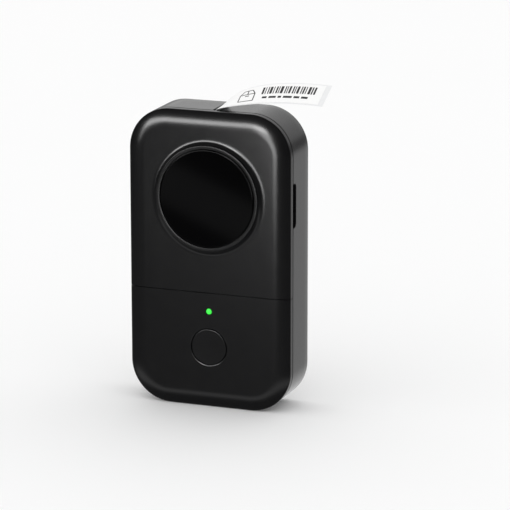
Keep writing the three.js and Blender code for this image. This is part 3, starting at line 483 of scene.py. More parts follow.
class Tree:
    """A node tree with short calls for what the finishes and the surround need."""

    def __init__(self, tree: bpy.types.NodeTree) -> None:
        """Takes the tree that the nodes are added to."""
        self.tree = tree

    def link(self, source: Socket, target: Socket) -> None:
        """Joins two sockets."""
        self.tree.links.new(source, target)

    def add(self, kind: str, source: Socket | None = None, **values: object) -> bpy.types.Node:
        """Adds a node.

        Args:
            kind: the node's type, without the words that every shader node starts with.
            source: the socket that feeds its Vector, or None.
            values: its sockets' values by name.

        Returns:
            The node.
        """
        node = self.tree.nodes.new("ShaderNode" + kind)
        fill(node, **values)
        if source is not None:
            self.link(source, node.inputs["Vector"])
        return node

    def step(self, kind: str, operation: str, *terms: object) -> bpy.types.Node:
        """Adds a mathematical node.

        Args:
            kind: Math or VectorMath.
            operation: what it does.
            terms: its inputs in order, each a socket or a fixed value.

        Returns:
            The node.
        """
        node = self.add(kind)
        node.operation = operation
        for index, term in enumerate(terms):
            if isinstance(term, Socket):
                self.link(term, node.inputs[index])
            else:
                node.inputs[index].default_value = term
        return node

    def ranged(
        self,
        value: Socket,
        low: float,
        high: float,
        start: float = 0.3,
        end: float = 0.7,
        curve: str = "LINEAR",
    ) -> Socket:
        """Maps a value from start..end to low..high.

        Args:
            value: the value's socket.
            low: the result at start.
            high: the result at end.
            start: the value that gives low.
            end: the value that gives high.
            curve: LINEAR or SMOOTHSTEP.

        Returns:
            The result's socket.
        """
        mapped = self.add("MapRange", From_Min=start, From_Max=end, To_Min=low, To_Max=high)
        mapped.interpolation_type = curve
        self.link(value, mapped.inputs["Value"])
        return mapped.outputs["Result"]


class Nodes(Tree):
    """A material's node tree, around one Principled shader."""

    def __init__(self, name: str) -> None:
        """Makes an empty material with a Principled shader."""
        self.material = bpy.data.materials.new(name)
        self.material.use_nodes = True
        super().__init__(self.material.node_tree)
        self.tree.nodes.clear()
        self.output = self.add("OutputMaterial")
        self.shader = self.add("BsdfPrincipled")
        self.link(self.shader.outputs["BSDF"], self.output.inputs["Surface"])
        self.place = self.add("TexCoord").outputs["Object"]

    def set(self, **values: object) -> None:
        """Sets the shader's own sockets, with spaces written as underscores."""
        fill(self.shader, **values)

    def noise(self, scale: float, detail: float = 4, stretch: Triple = (1, 1, 1)) -> Socket:
        """Gives a noise on object coordinates.

        Args:
            scale: noise cells per metre.
            detail: its octaves.
            stretch: how much each axis is squeezed first.

        Returns:
            The noise's value, about 0.5 in the middle.
        """
        mapping = self.add("Mapping", self.place, Scale=stretch)
        noise = self.add("TexNoise", mapping.outputs["Vector"], Scale=scale, Detail=detail)
        return noise.outputs["Fac"]

    def cells(self, scale: float) -> Socket:
        """Gives the distance inside Voronoi cells on object coordinates."""
        return self.add("TexVoronoi", self.place, Scale=scale).outputs["Distance"]

    def tint(self, value: Socket, first: Triple, second: Triple) -> None:
        """Colours the shader between two colours.

        Args:
            value: the share of the second colour.
            first: the colour at 0, linear.
            second: the colour at 1, linear.
        """
        mix = self.add("Mix")
        mix.data_type = "RGBA"
        fill(mix, A=(*first, 1), B=(*second, 1))
        self.link(value, mix.inputs["Factor"])
        colour = next(s for s in mix.outputs if s.type == "RGBA")
        self.link(colour, self.shader.inputs["Base Color"])

    def gloss(self, value: Socket, low: float, high: float) -> None:
        """Lets the roughness drift from low to high with a noise's value."""
        self.link(self.ranged(value, low, high), self.shader.inputs["Roughness"])

    def relief(self, height: Socket, strength: float, distance: float) -> None:
        """Puts a bump of that height, in metres, on the shader.

        Args:
            height: the height's socket.
            strength: the bump's share.
            distance: the height of a value of 1.
        """
        bump = self.add("Bump", Strength=strength, Distance=distance)
        self.link(height, bump.inputs["Height"])
        self.link(bump.outputs["Normal"], self.shader.inputs["Normal"])


@dataclass(frozen=True)
class Moulded:
    """Moulded plastic with a fine spark-eroded grain.

    Attributes:
        name: the material's name.
        color: its colour, linear.
        roughness: the middle of its roughness.
        grain: the grain's cells per metre.
        depth: the grain's height in metres.
        specular: the strength of its reflection.
    """

    name: str
    color: Triple
    roughness: float = 0.42
    grain: float = 2600
    depth: float = 0.00002
    specular: float = 0.5

    def material(self) -> bpy.types.Material:
        """Builds the material: colour and gloss drift slowly, and the grain is a small bump."""
        nodes = Nodes(self.name)
        lighter = tuple(min(1.0, c * 1.05 + 0.0002) for c in self.color)
        darker = tuple(c * 0.96 for c in self.color)
        nodes.tint(nodes.noise(45, 3), darker, lighter)
        nodes.gloss(nodes.noise(160, 4), self.roughness - 0.008, self.roughness + 0.008)
        nodes.relief(nodes.noise(self.grain, 2), 0.25, self.depth)
        nodes.set(Specular_IOR_Level=self.specular)
        return nodes.material


@dataclass(frozen=True)
class Metal:
    """Metal with fine brush marks along one axis.

    Attributes:
        name: the material's name.
        color: its colour, linear.
        roughness: the middle of its roughness.
        stretch: how the marks are squeezed along X, Y and Z.
    """

    name: str
    color: Triple
    roughness: float = 0.3
    stretch: Triple = (1, 12, 1)

    def material(self) -> bpy.types.Material:
        """Builds the material: brush marks vary the gloss, and stains the colour."""
        nodes = Nodes(self.name)
        marks = nodes.noise(900, 5, self.stretch)
        nodes.tint(nodes.noise(120, 3), tuple(c * 0.8 for c in self.color), self.color)
        nodes.gloss(marks, self.roughness - 0.08, self.roughness + 0.1)
        nodes.relief(marks, 0.15, 0.00001)
        nodes.set(Metallic=1.0)
        return nodes.material


@dataclass(frozen=True)
class Smoked:
    """Polished smoked plastic, so dark that little shows through."""

    name: str = "smoked window"

    def material(self) -> bpy.types.Material:
        """Builds the material: nearly black, polished, with the faintest uneven gloss."""
        nodes = Nodes(self.name)
        nodes.tint(nodes.noise(60, 2), (0.0003, 0.0003, 0.0004), (0.0004, 0.0004, 0.0005))
        nodes.gloss(nodes.noise(80, 3), 0.06, 0.065)
        nodes.set(Specular_IOR_Level=0.13)
        return nodes.material


@dataclass(frozen=True)
class Paper:
    """Coated paper with faint fibres.

    Attributes:
        name: the material's name.
        color: its colour, linear.
        fibre: the colour of its darker fibres.
        roughness: the middle of its roughness.
    """

    name: str
    color: Triple
    fibre: Triple
    roughness: float = 0.6

    def material(self) -> bpy.types.Material:
        """Builds the material: stretched fibres tint and lift a smooth coated sheet."""
        nodes = Nodes(self.name)
        fibres = nodes.noise(1500, 5, (1, 0.3, 1))
        nodes.tint(fibres, self.fibre, self.color)
        nodes.gloss(nodes.noise(300, 3), self.roughness - 0.06, self.roughness + 0.06)
        nodes.relief(fibres, 0.12, 0.00001)
        return nodes.material


@dataclass(frozen=True)
class Wound:
    """The side of a wound roll: fine rings about the roll's axis.

    Attributes:
        name: the material's name.
        centre: the axis' x and z, in millimetres.
        paper: the colour of the paper's edge.
        backing: the colour of the backing's edge.
        turns: rings per metre of radius.
    """

    name: str
    centre: Pair
    paper: Triple = (0.86, 0.83, 0.8)
    backing: Triple = (0.66, 0.52, 0.46)
    turns: float = 2200

    def material(self) -> bpy.types.Material:
        """Builds the material: the distance to the axis, times the turns, gives the rings."""
        nodes = Nodes(self.name)
        x, z = self.centre
        mapping = nodes.add("Mapping", nodes.place, Location=(-x * MM, 0, -z * MM))
        flat = nodes.step("VectorMath", "MULTIPLY", mapping.outputs["Vector"], (1, 0, 1))
        length = nodes.step("VectorMath", "LENGTH", flat.outputs["Vector"])
        phase = nodes.step("Math", "MULTIPLY", length.outputs["Value"], self.turns * TAU)
        wave = nodes.step("Math", "SINE", phase.outputs["Value"])
        rings = nodes.ranged(wave.outputs["Value"], 0, 1, -1, 1)
        nodes.tint(rings, self.backing, self.paper)
        nodes.relief(rings, 0.5, 0.00003)
        nodes.set(Roughness=0.75)
        return nodes.material


@dataclass(frozen=True)
class Lamp:
    """A translucent light pipe that glows.

    Attributes:
        name: the material's name.
        color: the light's colour, linear.
        strength: how bright it glows.
    """

    name: str
    color: Triple
    strength: float

    def material(self) -> bpy.types.Material:
        """Builds the material: a gloss shell over an even glow."""
        nodes = Nodes(self.name)
        nodes.tint(nodes.noise(400, 2), tuple(c * 0.8 for c in self.color), self.color)
        nodes.set(Roughness=0.4, Specular_IOR_Level=0.1)
        nodes.set(Emission_Color=(*self.color, 1), Emission_Strength=self.strength)
        return nodes.material


@dataclass(frozen=True)
class Board:
    """A circuit board with copper tracks under its solder mask."""

    name: str = "solder mask"

    def material(self) -> bpy.types.Material:
        """Builds the material: stepped cell borders read as tracks under a green mask."""
        nodes = Nodes(self.name)
        tracks = nodes.ranged(nodes.cells(260), 0, 1, 0.28, 0.32)
        nodes.tint(tracks, (0.006, 0.07, 0.022), (0.012, 0.13, 0.04))
        nodes.relief(tracks, 0.4, 0.00003)
        nodes.gloss(nodes.noise(200, 3), 0.3, 0.42)
        return nodes.material


class Finishes:
    """All the printer's materials, one for each slot and a few that only new pieces use."""

    def __init__(self, roll_centre: Pair) -> None:
        """Builds every material once.

        Args:
            roll_centre: the roll axis' x and z, in millimetres.
        """
        graphite = {"color": (0.0038, 0.0038, 0.0041), "roughness": 0.2, "specular": 0.33}
        even = (1, 1, 1)
        kinds = {
            Slot.CASING: Moulded("graphite casing", **graphite),
            Slot.DOOR: Moulded("graphite door", **graphite),
            Slot.BUTTON: Moulded("graphite button", **graphite),
            Slot.TRAY: Moulded("black tray", (0.018, 0.018, 0.02), 0.55, 1500),
            Slot.WINDOW: Smoked(),
            Slot.LIGHT: Lamp("green light", (0.04, 0.64, 0.055), 1.0),
            Slot.PAPER: Paper("thermal paper", (0.95, 0.95, 0.945), (0.89, 0.89, 0.885)),
            Slot.CARD: Paper("kraft card", (0.5, 0.37, 0.24), (0.36, 0.26, 0.16), 0.8),
            Slot.STEEL: Metal("ground steel", (0.56, 0.57, 0.58)),
            # also the tear bar's finish, where the dark colour is painted shade for the label slot's recess
            Slot.SCREW: Metal("black zinc and slot shade", (0.09, 0.09, 0.1), 0.35),
            Slot.ALUMINIUM: Metal("aluminium", (0.78, 0.79, 0.8), 0.38),
            Slot.RUBBER: Moulded("ground rubber", (0.02, 0.02, 0.021), 0.78, 1800, 0.00006),
            Slot.ACETAL: Moulded("natural acetal", (0.8, 0.78, 0.71), 0.42, 900),
            Slot.CERAMIC: Moulded("glazed alumina", (0.75, 0.72, 0.64), 0.22, 700),
            Slot.BRASS: Metal("turned brass", (0.78, 0.57, 0.24), 0.3),
            Slot.CHIP: Moulded("epoxy", (0.012, 0.012, 0.013), 0.5, 3000),
            Slot.FILM: Moulded("ribbon film", (0.62, 0.5, 0.27), 0.35, 500),
            Slot.BOARD: Board(),
            Slot.BATTERY: Metal("foil pouch", (0.5, 0.52, 0.55), 0.42, even),
        }
        self.by_slot = {slot: kind.material() for slot, kind in kinds.items()}
        self.can = Metal("plated can", (0.2, 0.2, 0.205), 0.5, even).material()
        backing = Paper("silicone liner", (0.84, 0.845, 0.85), (0.78, 0.785, 0.79), 0.35)
        self.liner = backing.material()
        self.ink = Moulded("thermal ink", (0.012, 0.012, 0.014), 0.55, 2000).material()
        self.wound = Wound("wound edge", roll_centre).material()

    def finish(
        self,
        piece: Piece,
        slot: Slot,
        body: Body,
        replaces: Sequence[str] = (),
        material: bpy.types.Material | None = None,
    ) -> None:
        """Gives a piece its finish and its body, and reports it.

        Args:
            piece: the object.
            slot: the record's slot it takes its finish from.
            body: the body that it moves with.
            replaces: the CAD nodes that it stands for, unless that is said already.
            material: another material than the slot's own, or None.
        """
        piece.data.materials.clear()
        piece.data.materials.append(material or self.by_slot[slot])
        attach(piece, body.value)
        if replaces:
            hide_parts(*replaces)
        LOG.info("%s: %d faces on %s", piece.name, len(piece.data.polygons), body.value)


# ---- Casing ----


@dataclass
class Outline:
    """The body's rounded outline, in rings that can be moved in and cut off straight.

    Attributes:
        layout: the printer's places.
        low: where the ring is cut off below, or None.
        high: where the ring is cut off above, or None.
        arc_steps: points on each round corner.
        side_steps: points on each straight side.
    """

    layout: Layout
    low: float | None = None
    high: float | None = None
    arc_steps: int = 26
    side_steps: int = 22

    def ring(self, inset: float, y: float, end_wall: float = 0.0) -> Points:
        """Gives one ring at depth y, moved in by inset.

        Round corners are quarter circles of the corner radius less the inset. A side that is cut
        off straight isn't moved in by the inset but by end_wall.

        Args:
            inset: how far the ring is moved in.
            y: its depth.
            end_wall: how far a cut side is moved in.

        Returns:
            An n by 3 array in millimetres, with the same number of points for every inset.
        """
        layout = self.layout
        radius = layout.corner - inset
        x_high = layout.side_x - inset
        z_low = inset if self.low is None else self.low + end_wall
        z_high = layout.top_z - inset if self.high is None else self.high - end_wall
        low_radius = radius if self.low is None else 0.0
        high_radius = radius if self.high is None else 0.0
        corners = [
            (x_high, z_low, low_radius, -0.25),
            (x_high, z_high, high_radius, 0.0),
            (-x_high, z_high, high_radius, 0.25),
            (-x_high, z_low, low_radius, 0.5),
        ]
        stretches = []
        for x, z, corner, start in corners:
            steps = self.arc_steps if corner > 0 else 1
            angles = TAU * (start + np.linspace(0, 0.25, steps)) if corner > 0 else np.zeros(1)
            inwards = corner if start in (-0.25, 0.5) else -corner
            centre = (x - math.copysign(corner, x), z + inwards)
            stretches.append(circle(corner, centre, y, angles)[:, [0, 2]])
        flat = []
        for this, following in zip(stretches, stretches[1:] + stretches[:1]):
            share = np.linspace(0, 1, self.side_steps + 2)[1:-1, None]
            flat += [this, this[-1] * (1 - share) + following[0] * share]
        flat = np.concatenate(flat)
        return np.stack([flat[:, 0], np.full(len(flat), y), flat[:, 1]], -1)


@dataclass
class Crown:
    """The front's rolled edge: an arc that falls from the flat face to a small rounded crease.

    Attributes:
        width: how far the arc reaches in from the side.
        radius: the arc's radius.
        crease: the radius of the rounded crease between the arc and the side.
        crease_start: where the crease starts, as a share of its radius.
        crease_fall: how far back it runs, as a share of its radius.
        steps: points on the arc.
    """

    width: float = 8.0
    radius: float = 17.0
    crease: float = 0.7
    crease_start: float = 0.62
    crease_fall: float = 0.9
    steps: int = 14

    def drop(self, inset: Points) -> Points:
        """Gives the arc's fall at an inset: R minus the root of R squared less w squared."""
        reach = np.clip(self.width - inset, 0, self.width)
        return self.radius - np.sqrt(self.radius**2 - reach**2)

    def profile(self, face_y: float, rim_y: float) -> list[Pair]:
        """Gives the (inset, y) points from the flat face to the rim.

        Args:
            face_y: the flat face's depth.
            rim_y: the rim's depth.

        Returns:
            The points, with the crease as a short arc that meets both sides smoothly.
        """
        start = self.crease * self.crease_start
        insets = np.linspace(self.width, start, self.steps)
        points = list(zip(insets, face_y + self.drop(insets)))
        edge_y = points[-1][1]
        corner_y = edge_y + self.crease * self.crease_fall
        reach = self.width - start
        slope = math.atan2(reach, math.sqrt(self.radius**2 - reach**2))
        turn = np.linspace(slope, QUARTER, 6)[1:]
        ease = (np.sin(turn) - math.sin(slope)) / (1 - math.sin(slope))
        fall = (math.cos(slope) - np.cos(turn)) / math.cos(slope)
        points += list(zip(start * (1 - ease), edge_y + (corner_y - edge_y) * fall))
        points.append((0.0, rim_y))
        return points


def towards(ring: Points, centre: Sequence[float]) -> Points:
    """Gives each ring point's angle about a centre in the XZ plane, in radians."""
    return np.arctan2(ring[:, 2] - centre[1], ring[:, 0] - centre[0])


def front_rings(
    outline: Outline, crown: Crown, bore: list[Pair], inner_bore: float, centre: Sequence[float]
) -> list[Points]:
    """Gives the closed loop of rings of a front moulding with one round hole.

    The rings run from the hole, over the flat face, the crown and the side to the rim, and back
    along the inside. Circles round the hole use the angles of the outline's points.

    Args:
        outline: the moulding's outline.
        crown: its rolled edge.
        bore: (radius, y) points of the hole's edge, from the inside out to the flat face.
        inner_bore: the hole's radius on the inside.
        centre: the hole's x and z.

    Returns:
        The rings, for a closed loft.
    """
    layout = outline.layout
    rim_y = layout.parting_y - layout.gap / 2
    wall = layout.wall
    flat = outline.ring(crown.width, layout.face_y)
    angles = towards(flat, centre)
    rings = [circle(radius, centre, y, angles) for radius, y in bore]
    rings += [rings[-1] * 0.5 + flat * 0.5]
    outside = crown.profile(layout.face_y, rim_y - RIM_CHAMFER)
    rings += [outline.ring(inset, y) for inset, y in outside]
    rings.append(outline.ring(RIM_CHAMFER, rim_y))
    inside = crown.profile(layout.face_y + wall, rim_y)
    rings += [outline.ring(inset + wall, y, END_WALL) for inset, y in reversed(inside)]
    rings.append(circle(inner_bore, centre, layout.inner_y, angles))
    return rings


@dataclass(frozen=True)
class Hinge:
    """The door's hinge: a barrel on the door, between two knuckles of the housing.

    Attributes:
        axis: its x and y.
        low: the barrel's lower end.
        high: the barrel's upper end.
        radius: the barrel's radius.
        pin_hole: the radius of the pin's hole.
        knuckle: a knuckle's length.
        inset: how far a knuckle lies from the barrel's end.
    """

    axis: Pair
    low: float
    high: float
    radius: float = 1.6
    pin_hole: float = 0.9
    knuckle: float = 6.0
    inset: float = 8.0

    @classmethod
    def of(cls, layout: Layout) -> "Hinge":
        """Places the hinge between the seam and the outline's upper corner."""
        high = layout.top_z - layout.corner - layout.gap
        return cls((layout.hinge_x, layout.parting_y), layout.seam_z + layout.gap, high)

    def knuckles(self) -> Pair:
        """Gives the two knuckles' lower ends."""
        return self.low + self.inset, self.high - self.inset - self.knuckle

    def rod(self, name: str, radius: float, low: float, high: float, steps: int = 40) -> Piece:
        """Gives a round rod on the hinge's axis."""
        return prism(name, 2, round_points(self.axis, radius, steps), low, high)


@dataclass
class Casing:
    """The rear housing and the fixed lower cover.

    Attributes:
        layout: the printer's places.
        finishes: the materials.
        back_radius: the rounding of the back edge outside.
        inner_radius: the rounding of the back edge inside.
        notch_length: the finger notch's length along Z.
        notch_width: how far it reaches back from the parting plane.
        notch_depth: how far it goes in from the side.
        notch_below_top: how far its middle lies below the top.
        notch_radius: the rounding of its two back corners.
        pocket_wall: the wall round it on the inside.
        slot_width: the label slot's width along X.
        slot_lean: the slot's shift along X for each millimetre of height.
        bar_overlap: how far the slot reaches over the tear bar.
        socket_depth: how far the socket's hole goes in from the side.
        boss_wall: the wall round a screw's head.
        seat_depth: how far a screw's seat lies before its head's back.
        flare: the depth of the chamfer round a screw's head.
        post_radius: the radius of the posts that the back screws go into.
        post_end: the posts' back end.
        button_edge: the rounding of the button's hole.
        light_hole: the radius of the light's hole.
        light_chamfer: the chamfer round it.
        groove: the radius of the groove for the door's barrel.
        groove_past: how far the groove runs past the outline's straight side.
        hinge_wall_short: how far the thicker wall stops below the barrel's end.
    """

    layout: Layout
    finishes: Finishes
    back_radius: float = 0.6
    inner_radius: float = 0.5
    notch_length: float = 20.0
    notch_width: float = 4.0
    notch_depth: float = 3.6
    notch_below_top: float = 40.6
    notch_radius: float = 2.0
    pocket_wall: float = 1.2
    slot_width: float = 3.3
    slot_lean: float = 0.625
    bar_overlap: float = 0.55
    socket_depth: float = 2.5
    boss_wall: float = 1.6
    seat_depth: float = 1.5
    flare: float = 0.35
    post_radius: float = 2.6
    post_end: float = -2.4
    button_edge: float = 0.3
    light_hole: float = 1.4
    light_chamfer: float = 0.22
    groove: float = 2.5
    groove_past: float = 9.0
    hinge_wall_short: float = 2.0

    def housing(self) -> Piece:
        """Builds the rear housing: a tray of rings, with its slot, notch, holes and hinge.

        Returns:
            The finished piece.
        """
        layout = self.layout
        outline = Outline(layout)
        rim = layout.parting_y + layout.gap / 2
        wall, back = layout.wall, layout.back_y
        floor = back - wall
        outside = rounded_edge(back, 0.0, self.back_radius, 8)
        inside = rounded_edge(floor, wall, self.inner_radius, 8)
        outer = [outline.ring(inset, y) for y, inset in outside]
        inner = [outline.ring(inset, y) for y, inset in inside]

        def drawn_in(ring: Points, share: float) -> Points:
            """Draws a ring towards the body's middle in its own plane."""
            middle = np.array([0.0, ring[0, 1], layout.top_z / 2])
            return middle + (ring - middle) * share

        shares = (0.05, 0.5, 0.9)
        rings = [drawn_in(outer[-1], s) for s in shares] + outer[::-1]
        side = np.linspace(back - self.back_radius, rim + RIM_CHAMFER, 5)
        rings += [outline.ring(0, y) for y in side[1:]]
        rings.append(outline.ring(RIM_CHAMFER, rim))
        rings += [outline.ring(wall, y) for y in np.linspace(rim, floor - self.inner_radius, 5)]
        rings += inner + [drawn_in(inner[-1], s) for s in reversed(shares)]
        made = loft("housing_shell", rings)
        for tool, operation in self.housing_tools():
            combine(made, tool, operation)
        smooth(made, 28, 0.16)
        return made

    def housing_tools(self) -> Iterable[Tool]:
        """Yields each tool that shapes the housing, with its operation.

        Yields:
            The finger notch's pocket and cut, the label slot, the socket hole, the screw holes and
            the door hinge's wall, groove and knuckles.
        """
        layout = self.layout
        rim = layout.parting_y + layout.gap / 2
        notch_z = layout.top_z - self.notch_below_top
        low, high = notch_z - self.notch_length / 2, notch_z + self.notch_length / 2
        back = layout.parting_y + self.notch_width
        pocket = layout.side_x - self.notch_depth
        wall, radius = self.pocket_wall, self.notch_radius
        box = rectangle(rim, back + wall, low - wall, high + wall)
        yield prism("pocket", 0, box, pocket - wall, layout.side_x - BITE), "UNION"
        turn = np.linspace(0, QUARTER, 7)
        y = back - radius
        upper = [(y + radius * math.cos(a), high - radius + radius * math.sin(a)) for a in turn]
        lower = [(y + radius * math.sin(a), low + radius - radius * math.cos(a)) for a in turn]
        corners = [(rim - PAST, low), *lower, *upper, (rim - PAST, high)]
        yield prism("notch", 0, corners, pocket, layout.side_x + PAST), "DIFFERENCE"
        yield self.label_slot(), "DIFFERENCE"
        yield self.socket_hole(), "DIFFERENCE"
        for node in BACK_SCREWS:
            yield from self.screw_tools(node)
        yield from self.hinge_tools()

    def label_slot(self) -> Piece:
        """Gives the cutter for the slot that follows the label out of the top wall."""
        layout = self.layout
        top = layout.top_z
        left = float(box_mm("tear_bar")[1][0]) - self.bar_overlap
        low, high = top - 4, top + 2
        ends = ((0, low), (self.slot_width, low), (self.slot_width, high), (0, high))
        corners = [(left + aside + (z - top) * self.slot_lean, z) for aside, z in ends]
        back = layout.back_y - layout.wall - layout.gap
        return prism("slot", 1, corners, layout.parting_y - PAST, back)

    def socket_hole(self) -> Piece:
        """Gives the cutter for the charging socket: an upright hole with round ends."""
        low, high = box_mm("charging_socket")
        y, z = (low[1] + high[1]) / 2, (low[2] + high[2]) / 2
        half_y = (high[1] - low[1]) / 2 + self.layout.gap
        half_z = (high[2] - low[2]) / 2 + self.layout.gap
        turn = np.linspace(0, math.pi, 12)
        up, down = z + half_z - half_y, z - half_z + half_y
        hole = [(y + half_y * math.cos(a), up + half_y * math.sin(a)) for a in turn]
        hole += [(y - half_y * math.cos(a), down - half_y * math.sin(a)) for a in turn]
        side = -self.layout.side_x
        return prism("socket_hole", 0, hole, side - PAST, side + self.socket_depth)

    def screw_tools(self, node: str) -> Iterable[Tool]:
        """Yields a back screw's boss, and its hole with a chamfered mouth.

        Args:
            node: the screw's CAD node.

        Yields:
            Each tool with its operation.
        """
        low, high = box_mm(node)
        centre = middle_xz(node)
        back = self.layout.back_y
        head = float(high[0] - low[0]) / 2
        seat = float(high[1]) - self.seat_depth
        wide = head + self.layout.gap
        outside, inside = head + self.boss_wall, back - BITE
        boss = [(0, 0.0), (outside, 0.0), (outside, inside), (0, inside)]
        yield turned("boss", boss, centre, 32), "UNION"
        mouth = wide + self.flare + 0.1
        hole = [(0, -1.0), (POST_HOLE, -1.0), (POST_HOLE, seat), (wide, seat)]
        hole += [(wide, back - self.flare), (mouth, back + 0.1), (mouth, back + PAST)]
        yield turned("screw_hole", hole + [(0, back + PAST)], centre, 40), "DIFFERENCE"

    def hinge_tools(self) -> Iterable[Tool]:
        """Yields the hinge's thicker wall, its groove, its knuckles and the pin's hole."""
        layout, hinge = self.layout, Hinge.of(self.layout)
        x, y = hinge.axis
        near, far = layout.gap, self.groove + layout.gap
        reach = self.groove + layout.wall
        rim = layout.parting_y + layout.gap / 2
        wall = rectangle(-layout.side_x + BITE, x + reach, rim, y + reach)
        yield prism("hinge_wall", 2, wall, hinge.low, hinge.high - self.hinge_wall_short), "UNION"
        groove_top = layout.top_z - layout.corner + self.groove_past
        yield hinge.rod("groove", self.groove, layout.seam_z, groove_top, 48), "DIFFERENCE"
        for low in hinge.knuckles():
            high = low + hinge.knuckle
            yield hinge.rod("knuckle", hinge.radius, low, high), "UNION"
            arm = rectangle(x, x + far, y + near, y + far)
            yield prism("knuckle_arm", 2, arm, low, high), "UNION"
        ends = hinge.low + 6, hinge.high - 6
        yield hinge.rod("pin_hole", hinge.pin_hole, *ends, 24), "DIFFERENCE"

    def lower_cover(self) -> Piece:
        """Builds the fixed lower cover with the button's hole, the light's hole and two posts.

        Returns:
            The finished piece.
        """
        layout = self.layout
        outline = Outline(layout, high=layout.seam_z - layout.gap / 2)
        low, high = box_mm("power_button")
        centre = (0.0, float(low[2] + high[2]) / 2)
        radius = float(high[0]) - FLANGE + layout.gap
        face, inner, edge = layout.face_y, layout.inner_y, self.button_edge
        bore = [(radius, inner), (radius, face + edge), (radius + 0.3 * edge, face + 0.3 * edge)]
        bore += [(radius + share * edge, face) for share in (1, 1.5, 5)]
        rings = front_rings(outline, Crown(), bore, radius, centre)
        made = loft("lower_cover_shell", rings, closed=True)
        narrow, wide, through = self.light_hole, self.light_hole + self.light_chamfer, inner + PAST
        hole = [(0, face - PAST), (wide, face - PAST), (wide, face)]
        hole += [(narrow, face + self.light_chamfer), (narrow, through), (0, through)]
        combine(made, turned("light_hole", hole, (0.0, middle_xz("status_led")[1]), 40))
        thick, start, end = self.post_radius, inner - BITE, self.post_end
        post = [(0, start), (thick, start), (thick, end), (POST_HOLE, end)]
        post += [(POST_HOLE, through), (0, through)]
        for node in BACK_SCREWS:
            combine(made, turned("post", post, middle_xz(node), 32), "UNION")
        smooth(made, 28, 0.12)
        return made

    def build(self) -> None:
        """Builds, dresses and places the casing's pieces."""
        shells = (self.housing(), "rear_housing"), (self.lower_cover(), "lower_front_cover")
        for made, node in shells:
            self.finishes.finish(made, Slot.CASING, Body.PRINTER, [node])


